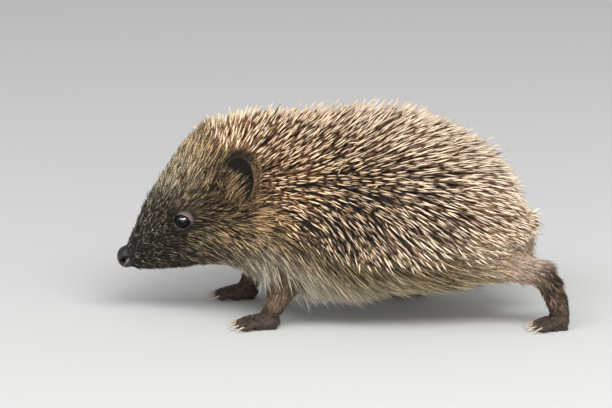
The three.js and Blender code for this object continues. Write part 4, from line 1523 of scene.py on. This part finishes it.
make_spines()
amounts = densities()
fur("fur_body", "fur", amounts["body"], (0.45, 3.0), 0.12, 0.175, 0.42)
fur("fur_face_long", "face", amounts["face_long"], (0.35, 2.4), 0.10, 0.15, 0.48)
fur("fur_face_short", "face", amounts["face_short"], (0.25, 1.5), 0.17, 0.135, 0.76)
fur("fur_legs", "leg", amounts["legs"], (0.3, 1.6), 0.10, 0.14, 0.4, leg_shape)
fur("fur_ears", "face", amounts["ears"], None, 0.10, 0.10, 0.4, ear_shape)
fur("ear_tufts", "face", amounts["tufts"], None, 0.10, 0.125, 0.45, tuft_shape)
make_whiskers()
make_eyes()
make_claws()

# ---- stage, light and camera, in metres but for the floor's mesh ----
VIEW_TILT = math.radians(15)
VIEW_DISTANCE = 1.6
VIEW_WIDTH = 0.26316  # of the frame at the animal
VIEW_AHEAD, VIEW_HEIGHT = 0.0155, 0.0488  # the frame's middle: ahead of the animal's, and above the floor
FLOOR_HALF = 3000.0  # in mm
WORLD_COLOUR, WORLD_STRENGTH = (0.95, 0.97, 1.0, 1), 0.42
LAMP_AIM = Vector((0, 0, 0.04))
LAMPS = [  # name, place, power, width and depth
    ("key", (0.3, -0.86, 1.12), 16.5, 1.1, 0.5),
    ("sky", (-0.72, -0.72, 1.12), 8, 1.1, 0.5),
    ("low", (0.1, -1.4, 0.34), 7, 1.0, 0.4),
    ("fill", (0.9, -0.5, 0.6), 2, 0.8, 0.8),
]


def make_camera():
    middle = (Vector(CAD_BOX[0]) + Vector(CAD_BOX[1])) / 2
    target = Vector((middle.x - VIEW_AHEAD, middle.y, VIEW_HEIGHT))
    back = Vector((0, -math.cos(VIEW_TILT), math.sin(VIEW_TILT)))
    data = bpy.data.cameras.new("camera")
    data.sensor_width = 36
    data.lens = data.sensor_width * VIEW_DISTANCE / VIEW_WIDTH
    data.clip_end = 20
    camera = bpy.data.objects.new("camera", data)
    camera.location = target + back * VIEW_DISTANCE
    camera.rotation_euler = (target - camera.location).to_track_quat("-Z", "Y").to_euler()
    bpy.context.scene.collection.objects.link(camera)
    bpy.context.scene.camera = camera


def make_stage():
    corners = np.array([(-1, -1, 0), (1, -1, 0), (1, 1, 0), (-1, 1, 0)]) * FLOOR_HALF
    new_mesh("floor", corners, np.arange(4), [4], floor_material(), smooth=False)


def make_lights():
    world = bpy.data.worlds.new("world")
    world.use_nodes = True
    background = world.node_tree.nodes["Background"]
    background.inputs["Color"].default_value = WORLD_COLOUR
    background.inputs["Strength"].default_value = WORLD_STRENGTH
    bpy.context.scene.world = world
    for name, place, power, wide, deep in LAMPS:
        data = bpy.data.lights.new(name, "AREA")
        data.shape = "RECTANGLE"
        data.energy, data.size, data.size_y = power, wide, deep
        lamp = bpy.data.objects.new(name, data)
        lamp.location = place
        lamp.rotation_euler = (LAMP_AIM - Vector(place)).to_track_quat("-Z", "Y").to_euler()
        bpy.context.scene.collection.objects.link(lamp)


make_camera()
make_stage()
make_lights()
bpy.context.scene.view_settings.view_transform = "Standard"
